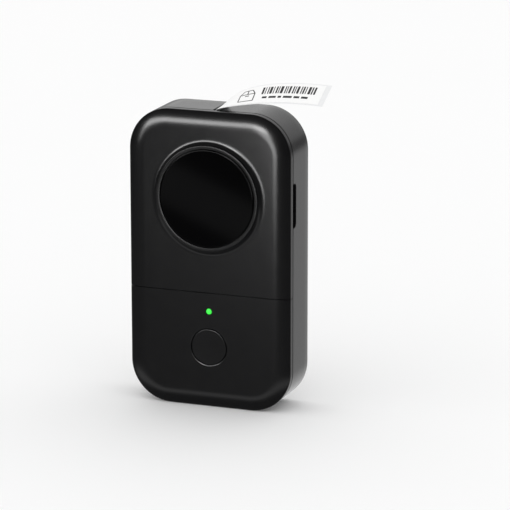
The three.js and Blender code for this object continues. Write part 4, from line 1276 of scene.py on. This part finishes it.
@dataclass
class Door:
    """The hinged door with its raised window ring and its smoked window.

    Attributes:
        layout: the printer's places.
        finishes: the materials.
        ring_radius: the window ring's outer radius.
        fillet: how high the hollow curve between the ring and the face is.
        fillet_reach: how far that curve reaches out over the face.
        shelf: the width of the ledge that the window lies on.
        shelf_depth: how deep the ledge lies behind the window's front.
        rim_dish: how far the ring's rim falls towards the window.
        rim_edge: the chamfer of that rim.
        lip: the rounding of the ring's outer edge.
        glass_edge: the rounding of the window's edge.
        spigot_height: how far the window's spigot stands back.
        spigot_inset: how far the spigot lies in from the window's edge.
        spigot_wall: the spigot's wall.
        tab_length: the length of the tabs that hold the door shut.
        tab_wall: how far in the tabs reach from the housing's wall.
        tab_reach: how far they reach past the parting plane.
        tab_start: how far behind the door's inner side they start.
    """

    layout: Layout
    finishes: Finishes
    ring_radius: float = 24.0
    fillet: float = 1.8
    fillet_reach: float = 3.0
    shelf: float = 2.0
    shelf_depth: float = 1.8
    rim_dish: float = 0.12
    rim_edge: float = 0.15
    lip: float = 0.4
    glass_edge: float = 0.35
    spigot_height: float = 1.0
    spigot_inset: float = 2.3
    spigot_wall: float = 1.0
    tab_length: float = 6.0
    tab_wall: float = 1.5
    tab_reach: float = 2.15
    tab_start: float = 0.7

    def shell(self) -> Piece:
        """Builds the door's moulding, with its barrel and the two tabs that hold it shut.

        The fillet is a cubic curve: at t it lies reach * (0.6 t^2 (1 - t) + t^3) out from the ring
        and height * ((1 - t)^3 + 1.35 t (1 - t)^2) before the face.

        Returns:
            The finished piece.
        """
        layout, ring = self.layout, self.ring_radius
        low, high = box_mm("roll_window")
        centre = (0.0, float(low[2] + high[2]) / 2)
        radius, top = float(high[0]) + layout.gap, float(low[1])
        hole, shelf_y = radius - self.shelf - layout.gap, top + self.shelf_depth
        rim = top + self.rim_dish
        fillet = [
            (
                ring + self.fillet_reach * (0.6 * t**2 * (1 - t) + t**3),
                layout.face_y - self.fillet * ((1 - t) ** 3 + 1.35 * t * (1 - t) ** 2),
            )
            for t in np.linspace(0, 1, 20)
        ]
        bore = [(hole, layout.inner_y), (hole, shelf_y), (radius, shelf_y)]
        bore += [(radius, rim + self.rim_edge), (radius + self.rim_edge, rim)]
        bore += rounded_edge(ring, top, self.lip) + fillet
        bore.append((ring + self.fillet_reach + 0.2, layout.face_y))
        outline = Outline(layout, low=layout.seam_z + layout.gap / 2)
        made = loft("door_shell", front_rings(outline, Crown(), bore, hole, centre), closed=True)
        for tool, operation in self.hinge_and_tabs():
            combine(made, tool, operation)
        smooth(made, 28, 0.12)
        return made

    def hinge_and_tabs(self) -> Iterable[Tool]:
        """Yields the barrel, the cuts round the housing's knuckles, the pin's hole and the tabs."""
        layout, hinge = self.layout, Hinge.of(self.layout)
        gap = layout.gap
        yield hinge.rod("barrel", hinge.radius, hinge.low, hinge.high), "UNION"
        for low in hinge.knuckles():
            ends = low - gap, low + hinge.knuckle + gap
            yield hinge.rod("clear", hinge.radius + gap, *ends), "DIFFERENCE"
        ends = hinge.low + 1, hinge.high - 1
        yield hinge.rod("pin_hole", hinge.pin_hole, *ends, 24), "DIFFERENCE"
        wall = layout.side_x - layout.wall
        inside, start, end = wall - self.tab_wall, layout.inner_y + self.tab_start, layout.parting_y
        tab = rectangle(inside, wall - gap, start, end + self.tab_reach)
        root = rectangle(inside, wall + BITE, start, end - gap / 2)
        for low in (layout.seam_z + 14, layout.top_z - layout.corner - self.tab_length):
            yield prism("tab", 2, tab, low, low + self.tab_length), "UNION"
            yield prism("tab_root", 2, root, low, low + self.tab_length), "UNION"

    def window(self) -> Piece:
        """Builds the window: a flat polished disc with a rounded edge and a spigot behind.

        Returns:
            The finished piece.
        """
        low, high = box_mm("roll_window")
        centre = (0.0, float(low[2] + high[2]) / 2)
        radius, top, back = float(high[0]), float(low[1]), float(high[1])
        shoulder = back - self.spigot_height
        outside = radius - self.spigot_inset
        inside = outside - self.spigot_wall
        profile = [(0, top), (radius * 0.5, top), (radius - self.glass_edge - 0.03, top)]
        profile += rounded_edge(radius, top, self.glass_edge)
        profile += [(radius, shoulder), (outside, shoulder), (outside, back), (inside, back)]
        profile += [(inside, shoulder - 0.2), (0, shoulder - 0.2)]
        made = turned("window_disc", profile, centre, 128)
        smooth(made, 30)
        return made

    def build(self) -> None:
        """Builds, dresses and places the door's pieces."""
        self.finishes.finish(self.shell(), Slot.DOOR, Body.DOOR, ["roll_door"])
        self.finishes.finish(self.window(), Slot.WINDOW, Body.DOOR, ["roll_window"])


@dataclass
class Controls:
    """The power button and the status light.

    Attributes:
        layout: the printer's places.
        finishes: the materials.
        dish: how deep the button's face is dished.
        edge: the rounding of the button's edge.
        stem: the radius of the button's stem.
        flange_wall: the thickness of both flanges.
        dome: how far the light's domed face falls to its edge.
    """

    layout: Layout
    finishes: Finishes
    dish: float = 0.12
    edge: float = 0.35
    stem: float = 2.2
    flange_wall: float = 0.8
    dome: float = 0.25

    def button(self) -> Piece:
        """Builds the button: a slightly dished cap with a rounded edge, a flange and a stem."""
        low, high = box_mm("power_button")
        centre = (0.0, float(low[2] + high[2]) / 2)
        flange = float(high[0])
        radius = flange - FLANGE
        face = float(low[1])
        flange_y = self.layout.inner_y + self.layout.gap
        reach = np.linspace(0, radius - self.edge - 0.2, 8)
        dished = [(r, face + self.dish * (1 - (r / reach[-1]) ** 2)) for r in reach]
        flange_back, end = flange_y + self.flange_wall, float(high[1])
        profile = dished + rounded_edge(radius, face, self.edge)
        profile += [(radius, flange_y), (flange, flange_y), (flange, flange_back)]
        profile += [(self.stem, flange_back), (self.stem, end), (0, end)]
        made = turned("button_cap", profile, centre, 96)
        smooth(made, 30)
        return made

    def light(self) -> Piece:
        """Builds the light pipe: a domed lens on a flanged stem."""
        low, high = box_mm("light_pipe")
        centre = (0.0, middle_xz("status_led")[1])
        flange = float(high[0])
        radius = flange - FLANGE
        flange_y = self.layout.inner_y + self.layout.gap
        flange_back, end = flange_y + self.flange_wall, float(high[1])
        profile = [(radius * t, float(low[1]) + self.dome * t**2) for t in np.linspace(0, 1, 7)]
        profile += [(radius, self.layout.face_y + 0.4), (radius, flange_y), (flange, flange_y)]
        profile += [(flange, flange_back), (radius, flange_back), (radius, end), (0, end)]
        made = turned("light_lens", profile, centre, 48)
        smooth(made, 40)
        return made

    def build(self) -> None:
        """Builds, dresses and places the controls."""
        self.finishes.finish(self.button(), Slot.BUTTON, Body.BUTTON, ["power_button"])
        self.finishes.finish(self.light(), Slot.LIGHT, Body.PRINTER, ["light_pipe"])


# ---- Label ----


@dataclass
class LabelPath:
    """The printed label's course: straight out of the slot, then bending over to the right.

    The middle line is a cubic Bezier curve in X and Z, and the label turns about it by
    twist * (1 - exp(-run / twist_run)), so that its back edge is the higher one.

    Attributes:
        layout: the printer's places.
        exit_x: where the middle line passes the top face.
        lean: the middle line's direction at the exit, in radians above +X.
        width: the label's width.
        past_side: how far it hangs past the side.
        rise: how high its end is above the top face.
        twist: the final turn, in degrees.
        twist_run: the length over which it turns.
        lead: how far the curve's second point lies from the exit.
        crest: how far its third point lies above the end.
        samples: points on the curve.
        inside: the straight length inside the printer.
        run: the length from the exit at each point of the middle line.
        line: the middle line's points.
    """

    layout: Layout
    exit_x: float = 1.5
    lean: float = math.radians(58.0)
    width: float = 14.0
    past_side: float = 13.0
    rise: float = 8.3
    twist: float = 30.0
    twist_run: float = 10.0
    lead: float = 3.2
    crest: float = 1.9
    samples: int = 400
    inside: float = 34.0
    run: Points = field(init=False)
    line: Points = field(init=False)

    def __post_init__(self) -> None:
        """Measures the middle line, so that a place on it is given by its length from the exit."""
        top = self.layout.top_z
        end = np.array([self.layout.side_x + self.past_side, top + self.rise])
        start = np.array([self.exit_x, top])
        direction = np.array([math.cos(self.lean), math.sin(self.lean)])
        second = start + self.lead * direction
        third = np.array([start[0] + (end[0] - start[0]) / 3, end[1] + self.crest])
        t = np.linspace(0, 1, self.samples)[:, None]
        curve = (1 - t) ** 3 * start + 3 * (1 - t) ** 2 * t * second
        curve = curve + 3 * (1 - t) * t**2 * third + t**3 * end
        inner_end = start - direction * self.inside
        self.line = np.concatenate([inner_end[None], curve])
        steps = np.linalg.norm(np.diff(self.line, axis=0), axis=1)
        self.run = np.concatenate([[0], np.cumsum(steps)]) - self.inside

    @property
    def length(self) -> float:
        """The length outside the printer."""
        return float(self.run[-1])

    def surface(self, run: Points, across: Points, lift: float | Points = 0.0) -> Points:
        """Gives points on the label.

        Args:
            run: lengths from the exit, negative inside the printer.
            across: places across the width, positive towards the back.
            lift: how far above the printed side.

        Returns:
            Points in millimetres, shaped as run and across are.
        """
        run, across = np.broadcast_arrays(np.asarray(run, float), np.asarray(across, float))
        step = 0.25
        (x, z), (x_on, z_on), (x_back, z_back) = (
            [np.interp(place, self.run, self.line[:, axis]) for axis in (0, 1)]
            for place in (run, run + step, run - step)
        )
        dx, dz = x_on - x_back, z_on - z_back
        size = np.hypot(dx, dz)
        normal_x, normal_z = -dz / size, dx / size
        angle = np.radians(self.twist) * (1 - np.exp(-np.clip(run, 0, None) / self.twist_run))
        up = across * np.sin(angle) + lift * np.cos(angle)
        y = across * np.cos(angle) - lift * np.sin(angle)
        return np.stack([x + normal_x * up, y, z + normal_z * up], -1)


@dataclass
class Label:
    """The printed label on its liner, with its marks, and the roll that it comes from.

    Attributes:
        layout: the printer's places.
        finishes: the materials.
        path: the label's course.
        paper: the label's thickness.
        liner: the liner's thickness.
        end_band: the bare liner at the end.
        margin: the bare liner along each edge.
    """

    layout: Layout
    finishes: Finishes
    path: LabelPath
    paper: float = 0.09
    liner: float = 0.08
    end_band: float = 2.4
    margin: float = 0.7

    def ribbon(
        self, name: str, start: float, end: float, half: float, low: float, high: float
    ) -> Piece:
        """Builds a thin closed sheet that follows the path.

        Args:
            name: the piece's name.
            start: its start along the path.
            end: its end.
            half: half its width.
            low: its underside's lift.
            high: its upper side's lift.

        Returns:
            The piece.
        """
        run = np.linspace(start, end, 150)
        across = np.linspace(-half, half, 9)
        r, a = np.meshgrid(run, across, indexing="ij")
        upper = self.path.surface(r, a, high)
        lower = self.path.surface(r, a, low)
        rings = [np.concatenate([u, l[::-1]]) for u, l in zip(upper, lower)]
        made = loft(name, rings)
        smooth(made, 40)
        return made

    def quad_strip(self, corners: Points, rows: int = 6) -> tuple[Points, Points]:
        """Gives a four-cornered mark as a small curved grid on the label.

        Args:
            corners: four (run, across) points in order.
            rows: steps along the longer way.

        Returns:
            Its points and its quads.
        """
        share = np.linspace(0, 1, rows + 1)[:, None]
        first = corners[0] * (1 - share) + corners[1] * share
        second = corners[3] * (1 - share) + corners[2] * share
        flat = np.stack([first, second], 1).reshape(-1, 2)
        points = self.path.surface(flat[:, 0], flat[:, 1], self.paper + 0.03)
        return points, grid_faces(rows + 1, 2, False, False)

    def marks(self) -> Piece:
        """Builds the printed marks: a parcel outline, a row of bars and a row of plain dashes.

        The label is read from its front edge, so across grows towards the reader's top.

        Returns:
            One piece that holds every mark.
        """
        strokes: list[Points] = []

        def bar(run_low: float, run_high: float, low: float, high: float) -> None:
            """Adds a rectangle."""
            strokes.append(np.array(rectangle(run_low, run_high, low, high)))

        def line(start: Pair, end: Pair, width: float = 0.45) -> None:
            """Adds a straight stroke."""
            a, b = np.array(start), np.array(end)
            side = np.array([-(b - a)[1], (b - a)[0]]) / np.linalg.norm(b - a) * width / 2
            strokes.append(np.array([a - side, b - side, b + side, a + side]))

        def closed_line(points: Sequence[Pair]) -> None:
            """Adds strokes round a closed outline."""
            for a, b in zip(points, list(points[1:]) + [points[0]]):
                line(a, b)

        left, size = 10.2, 7.0
        closed_line(rectangle(left, left + size, -4.2, 1.2))
        closed_line([(left, 1.2), (left + 1.5, 4.0), (left + size - 1.5, 4.0), (left + size, 1.2)])
        line((left + size / 2, 1.2), (left + size / 2, 4.0))
        line((left + size / 2 - 1, -0.2), (left + size / 2 + 1, -0.2), 0.6)
        widths = (0.9, 0.4, 0.5, 1.1, 0.4, 0.7, 0.4, 1.2, 0.5, 0.4)
        widths += (0.9, 0.6, 0.4, 1.0, 0.5, 0.7, 0.4, 1.1, 0.6, 0.8)
        cursor = 20.5
        for index, width in enumerate(widths):
            bar(cursor, cursor + width, -0.2, 4.6)
            cursor += width + (0.55, 0.8, 0.45)[index % 3]
        cursor = 21.5
        for width in (2.2, 3.4, 1.6, 4.1, 2.6, 3.0):
            bar(cursor, cursor + width, -3.3, -2.0)
            cursor += width + 0.9
        points, faces, offset = [], [], 0
        for corners in strokes:
            mark, quads = self.quad_strip(corners)
            points.append(mark)
            faces += (quads + offset).tolist()
            offset += len(mark)
        made = make_mesh("label_marks", np.concatenate(points), faces)
        thicken = made.modifiers.new("ink", "SOLIDIFY")
        thicken.thickness = 0.02 * MM
        thicken.offset = 0
        return made

    def build(self) -> None:
        """Builds, dresses and places the label's pieces."""
        half, end, start = self.path.width / 2, self.path.length, -self.path.inside
        finish = self.finishes.finish
        liner = self.ribbon("label_liner", start, end, half, -self.liner, 0.0)
        finish(liner, Slot.PAPER, Body.PRINTER, ["label_strip"], self.finishes.liner)
        size = end - self.end_band, half - self.margin
        paper = self.ribbon("label_paper", start, *size, 0.01, self.paper)
        finish(paper, Slot.PAPER, Body.PRINTER)
        finish(self.marks(), Slot.PAPER, Body.PRINTER, material=self.finishes.ink)
        self.roll()

    def roll(self) -> None:
        """Builds the loaded roll with wound edges and its card core."""
        low, high = box_mm("label_roll")
        centre = middle_xz("label_roll")
        outer, front, back = float(high[0]), float(low[1]), float(high[1])
        core = float(box_mm("roll_core")[1][0])
        side = np.linspace(0.2, 1, 12)
        wave = [(core + 0.3 + (outer - core - 0.5) * s, 0.06 * math.sin(9 * s)) for s in side]
        profile = [(core + 0.3, front + 0.2)]
        profile += [(r, front + 0.12 + w) for r, w in wave]
        profile += [(outer, front + 0.3), (outer, back - 0.3)]
        profile += [(r, back - 0.12 + w) for r, w in reversed(wave)]
        profile += [(core + 0.3, back - 0.2)]
        roll = turned("wound_roll", profile, centre, 128, closed=True)
        smooth(roll, 35)
        self.finishes.finish(roll, Slot.PAPER, Body.ROLL, ["label_roll"])
        roll.data.materials.append(self.finishes.wound)
        normals = np.zeros(len(roll.data.polygons) * 3)
        roll.data.polygons.foreach_get("normal", normals)
        on_side = np.abs(normals.reshape(-1, 3)[:, 1]) > 0.7
        roll.data.polygons.foreach_set("material_index", on_side.astype(np.int32))
        tube = [(core - 0.95, front), (core - 0.1, front), (core, front + 0.1)]
        tube += [(core, back - 0.1), (core - 0.1, back), (core - 0.95, back)]
        tube += [(core - 1, back - 0.1), (core - 1, front + 0.1)]
        card = turned("card_core", tube, centre, 96, closed=True)
        smooth(card, 35)
        self.finishes.finish(card, Slot.CARD, Body.ROLL, ["roll_core"])


# ---- Mechanism and electronics ----


@dataclass
class Mechanism:
    """The tray, print head, platen and drive: CAD nodes with rounded edges and real finishes; the tear bar's dark
    finish is painted shade for the label slot.

    Attributes:
        layout: the printer's places.
        finishes: the materials.
        along: the label's direction out of the slot, as x, y and z.
        away: the direction square to it, towards the print head's free side.
        spring_length: the head spring's length at rest.
        sunk: how far the tear bar lies below the top face, along the label.
        spring_travel: how much the spring shortens as the head lifts all the way.
    """

    layout: Layout
    finishes: Finishes
    along: Triple = (0.53, 0.0, 0.848)
    away: Triple = (-0.848, 0.0, 0.53)
    spring_length: float = 4.4
    sunk: float = 1.4
    # spring_travel: how much the spring shortens as the head lifts all the way; not used.
    spring_travel: float = 1.3

    def spring(self) -> Piece:
        """Builds the head's spring as a smoothed copy of its CAD node."""
        made = refined_copy("head_spring", "coil_spring", 0.0)
        self.finishes.finish(made, Slot.STEEL, Body.PRINTER)
        half = np.array(self.away) * self.spring_length / 2
        anchor = tuple((centre_mm("head_spring") + half) * MM)
        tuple(self.away)
        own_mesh(made)
        return made

    def tear_bar(self) -> Piece:
        """Builds the toothed tear bar, sunk into the slot along the label."""
        made = refined_copy("tear_bar", "toothed_bar", 0.0)
        shift = np.array(self.along) * -self.sunk * MM
        made.data.transform(Matrix.Translation(Vector(shift)))
        return made

    def platen(self) -> Piece:
        """Builds the rubber roller with chamfered ends."""
        low, high = box_mm("platen_roller")
        centre = middle_xz("platen_roller")
        radius = float(high[0] - low[0]) / 2
        front, back = float(low[1]), float(high[1])
        bore, chamfer = 1.05, 0.4
        profile = [(bore, front), (radius - chamfer, front), (radius, front + chamfer)]
        profile += [(radius, back - chamfer), (radius - chamfer, back), (bore, back)]
        made = turned("rubber_roller", profile, centre, 64, closed=True)
        smooth(made, 30)
        return made

    def build(self) -> None:
        """Builds the roller and refines or dresses every other node of the mechanism."""
        finish = self.finishes.finish
        finish(self.platen(), Slot.RUBBER, Body.PLATEN, ["platen_roller"])
        self.spring()
        # The tear bar takes this dark finish instead of its steel one: painted shade for the slot's recess.
        dark = self.finishes.by_slot[Slot.SCREW]
        finish(self.tear_bar(), Slot.STEEL, Body.PRINTER, material=dark)
        refined = (
            ("inner_tray", "moulded_tray", Slot.TRAY, Body.PRINTER, 0.15),
            ("roll_spindle", "spindle_hub", Slot.TRAY, Body.PRINTER, 0.2),
            ("head_heat_sink", "finned_heat_sink", Slot.ALUMINIUM, Body.HEAD, 0.1),
            ("drive_motor", "stepper_can", Slot.STEEL, Body.PRINTER, 0.25),
            ("platen_shaft", "roller_shaft", Slot.STEEL, Body.PLATEN, 0.1),
            ("head_pivot_pin", "pivot_pin", Slot.STEEL, Body.PRINTER, 0.12),
            ("gap_sensor", "sensor_block", Slot.CHIP, Body.PRINTER, 0.2),
            ("battery_pack", "pouch_cell", Slot.BATTERY, Body.PRINTER, 0.0),
            ("charging_socket", "socket_shell", Slot.STEEL, Body.PRINTER, 0.05),
            ("main_board", "circuit_board", Slot.BOARD, Body.PRINTER, 0.05),
        )
        for node, name, slot, body, bevel in refined:
            material = self.finishes.can if node == "drive_motor" else None
            finish(refined_copy(node, name, bevel), slot, body, material=material)


def dress_remaining(finishes: Finishes) -> None:
    """Gives every CAD node that still shows the finish of its slot.

    Args:
        finishes: the materials.
    """
    slots = {part["node"]: Slot(part["material_slot"]) for part in frame["record"]["subparts"]}
    for name, node in frame["nodes"].items():
        if node.hide_render:
            continue
        material = finishes.by_slot[slots[name]]
        for index in range(max(1, len(node.material_slots))):
            if not node.material_slots:
                node.data.materials.append(material)
            node.material_slots[index].material = material


# ---- Studio ----


@dataclass
class Panel:
    """A soft light panel that only the printer's gloss picks up, or that lights everything.

    Attributes:
        name: its name.
        where: its middle, in metres.
        aim: the point that it faces, in metres.
        size: its width and height in metres.
        brightness: the radiance of its face.
        tilt: how far it is turned in its own plane, in degrees.
        gloss_only: whether it shows in reflections only.
    """

    name: str
    where: Triple
    aim: Triple
    size: Pair
    brightness: float
    tilt: float = 0.0
    gloss_only: bool = True

    def build(self) -> None:
        """Adds the light; its power is its radiance times pi times its area."""
        light = bpy.data.lights.new(self.name, "AREA")
        light.shape = "RECTANGLE"
        light.size, light.size_y = self.size
        light.energy = self.brightness * math.pi * self.size[0] * self.size[1]
        made = new_object(self.name, light)
        towards_aim = Vector(self.aim) - Vector(self.where)
        facing = towards_aim.to_track_quat("-Z", "Y").to_matrix().to_4x4()
        turn = Matrix.Rotation(math.radians(self.tilt), 4, "Z")
        made.matrix_world = Matrix.Translation(Vector(self.where)) @ facing @ turn
        made.visible_diffuse = not self.gloss_only
        made.visible_camera = False


@dataclass
class Studio:
    """The camera, the pale floor and the soft lights.

    Attributes:
        azimuth: the camera's turn about the printer, in degrees towards its right side.
        elevation: its height angle, in degrees.
        roll: its roll, in degrees.
        distance: its distance from the middle of the body, in metres.
        lens: its focal length on a 36 mm sensor.
        shift: the sideways shift that puts the printer left of the middle.
        surround: the strength of the light that matt surfaces get.
        bright: the reflected studio's strength behind the printer.
        dim: its strength in front.
        horizon: the height of its dark horizon, as the direction's z.
        right_share: how much of it is left towards the right.
        low_light: the height of the soft band in front, as the direction's z.
    """

    layout: Layout
    azimuth: float = 21.118
    elevation: float = 14.306
    roll: float = -0.214
    distance: float = 1.47096
    lens: float = 232.7
    shift: float = 0.0715
    surround: float = 1.06
    bright: float = 1.0
    dim: float = 0.1
    horizon: float = -0.03
    right_share: float = 0.62
    low_light: float = -0.47

    def camera(self) -> None:
        """Adds the camera, aimed at the middle of the body."""
        az, el = math.radians(self.azimuth), math.radians(self.elevation)
        target = Vector((0, 0, self.layout.top_z / 2 * MM))
        away = Vector((math.sin(az) * math.cos(el), -math.cos(az) * math.cos(el), math.sin(el)))
        data = bpy.data.cameras.new("camera")
        data.lens = self.lens
        data.sensor_width = 36
        data.shift_x = self.shift
        data.clip_end = 20
        made = new_object("camera", data)
        turn = (-away).to_track_quat("-Z", "Y").to_matrix().to_4x4()
        roll = Matrix.Rotation(math.radians(self.roll), 4, "Z")
        made.matrix_world = Matrix.Translation(target + away * self.distance) @ turn @ roll
        bpy.context.scene.camera = made

    def floor(self) -> None:
        """Adds the floor, a wide pale sheet."""
        half = 4000.0
        corners = [(x, y, 0) for x, y in rectangle(-half, half, -half, half)]
        made = make_mesh("floor", np.array(corners), [(0, 1, 2, 3)])
        nodes = Nodes("pale floor")
        nodes.tint(nodes.noise(3, 2), (0.93, 0.93, 0.93), (0.94, 0.94, 0.94))
        nodes.set(Roughness=0.7, Specular_IOR_Level=0.1)
        made.data.materials.append(nodes.material)
        made.visible_glossy = False
        made.visible_shadow = False
        made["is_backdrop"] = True

    def world(self) -> None:
        """Sets an even pale surround, and the studio that the gloss reflects.

        The reflected studio is white behind the printer and dim before it, with a darker horizon:
        ease(y) from dim to white, times ease(|z - horizon|), times ease(x) towards the right, plus
        one soft band below the horizon in front.
        """
        world = bpy.data.worlds.new("surround")
        world.use_nodes = True
        tree = Tree(world.node_tree)
        background = world.node_tree.nodes["Background"]
        split = tree.add("SeparateXYZ")
        tree.link(tree.add("TexCoord").outputs["Generated"], split.inputs[0])
        x, y, z = (split.outputs[axis] for axis in "XYZ")

        def ease(value: Socket, start: float, end: float, low: float, high: float) -> Socket:
            """Eases a value from low to high between start and end."""
            return tree.ranged(value, low, high, start, end, "SMOOTHSTEP")

        def maths(operation: str, *terms: object) -> Socket:
            """Gives the result of a mathematical operation on sockets or numbers."""
            return tree.step("Math", operation, *terms).outputs["Value"]

        behind = ease(y, -0.2, 0.35, self.dim, self.bright)
        height = maths("ABSOLUTE", maths("SUBTRACT", z, self.horizon))
        studio = maths("MULTIPLY", behind, ease(height, 0.03, 0.16, 0.35, 1.0))
        studio = maths("MULTIPLY", studio, ease(x, 0.1, 0.5, 1.0, self.right_share))
        low = maths("ABSOLUTE", maths("SUBTRACT", z, self.low_light))
        below = maths("MULTIPLY", ease(low, 0.02, 0.13, 1.0, 0.0), ease(y, -0.5, -0.2, 1.0, 0.0))
        mix = tree.add("Mix", A=self.surround)
        tree.link(tree.add("LightPath").outputs["Is Glossy Ray"], mix.inputs["Factor"])
        tree.link(maths("ADD", studio, below), mix.inputs["B"])
        background.inputs["Color"].default_value = (1, 1, 1, 1)
        tree.link(mix.outputs["Result"], background.inputs["Strength"])
        bpy.context.scene.world = world
        bpy.context.scene.view_settings.view_transform = "Standard"

    def panels(self) -> None:
        """Adds the strips that draw the edges' highlights and the window's two soft bands."""
        middle, slant = (0, 0, 0.0964), -28
        broad, narrow = (-0.226, -0.6, -0.056), (-0.244, -0.6, -0.09)
        for panel in (
            Panel("top strip", (-0.33, -0.75, 0.255), (0, 0, 0.13), (0.6, 0.16), 15.5),
            Panel("right strip", (-0.09, -0.6, 0.11), (0.03, 0, 0.11), (0.12, 0.28), 12),
            Panel("left strip", (-0.55, -0.6, 0.14), (-0.03, 0, 0.1), (0.1, 0.2), 6),
            Panel("broad band", broad, middle, (0.2, 0.026), 0.42, slant),
            Panel("narrow band", narrow, middle, (0.2, 0.012), 0.24, slant),
        ):
            panel.build()

    def build(self) -> None:
        """Adds everything that isn't the printer."""
        self.camera()
        self.floor()
        self.world()
        self.panels()


def main() -> None:
    """Builds the studio and every sub-assembly in order."""
    logging.basicConfig(level=logging.INFO, format="%(name)s: %(message)s")
    layout = Layout.from_frame()
    Studio(layout).build()
    finishes = Finishes(middle_xz("label_roll"))
    Casing(layout, finishes).build()
    Door(layout, finishes).build()
    Controls(layout, finishes).build()
    Label(layout, finishes, LabelPath(layout)).build()
    Mechanism(layout, finishes).build()
    dress_remaining(finishes)
    boxes = {"cad": CAD_BOX, "visual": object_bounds()}
    sizes = {key: [list(map(float, corner)) for corner in box] for key, box in boxes.items()}


if __name__ == "__main__":
    main()
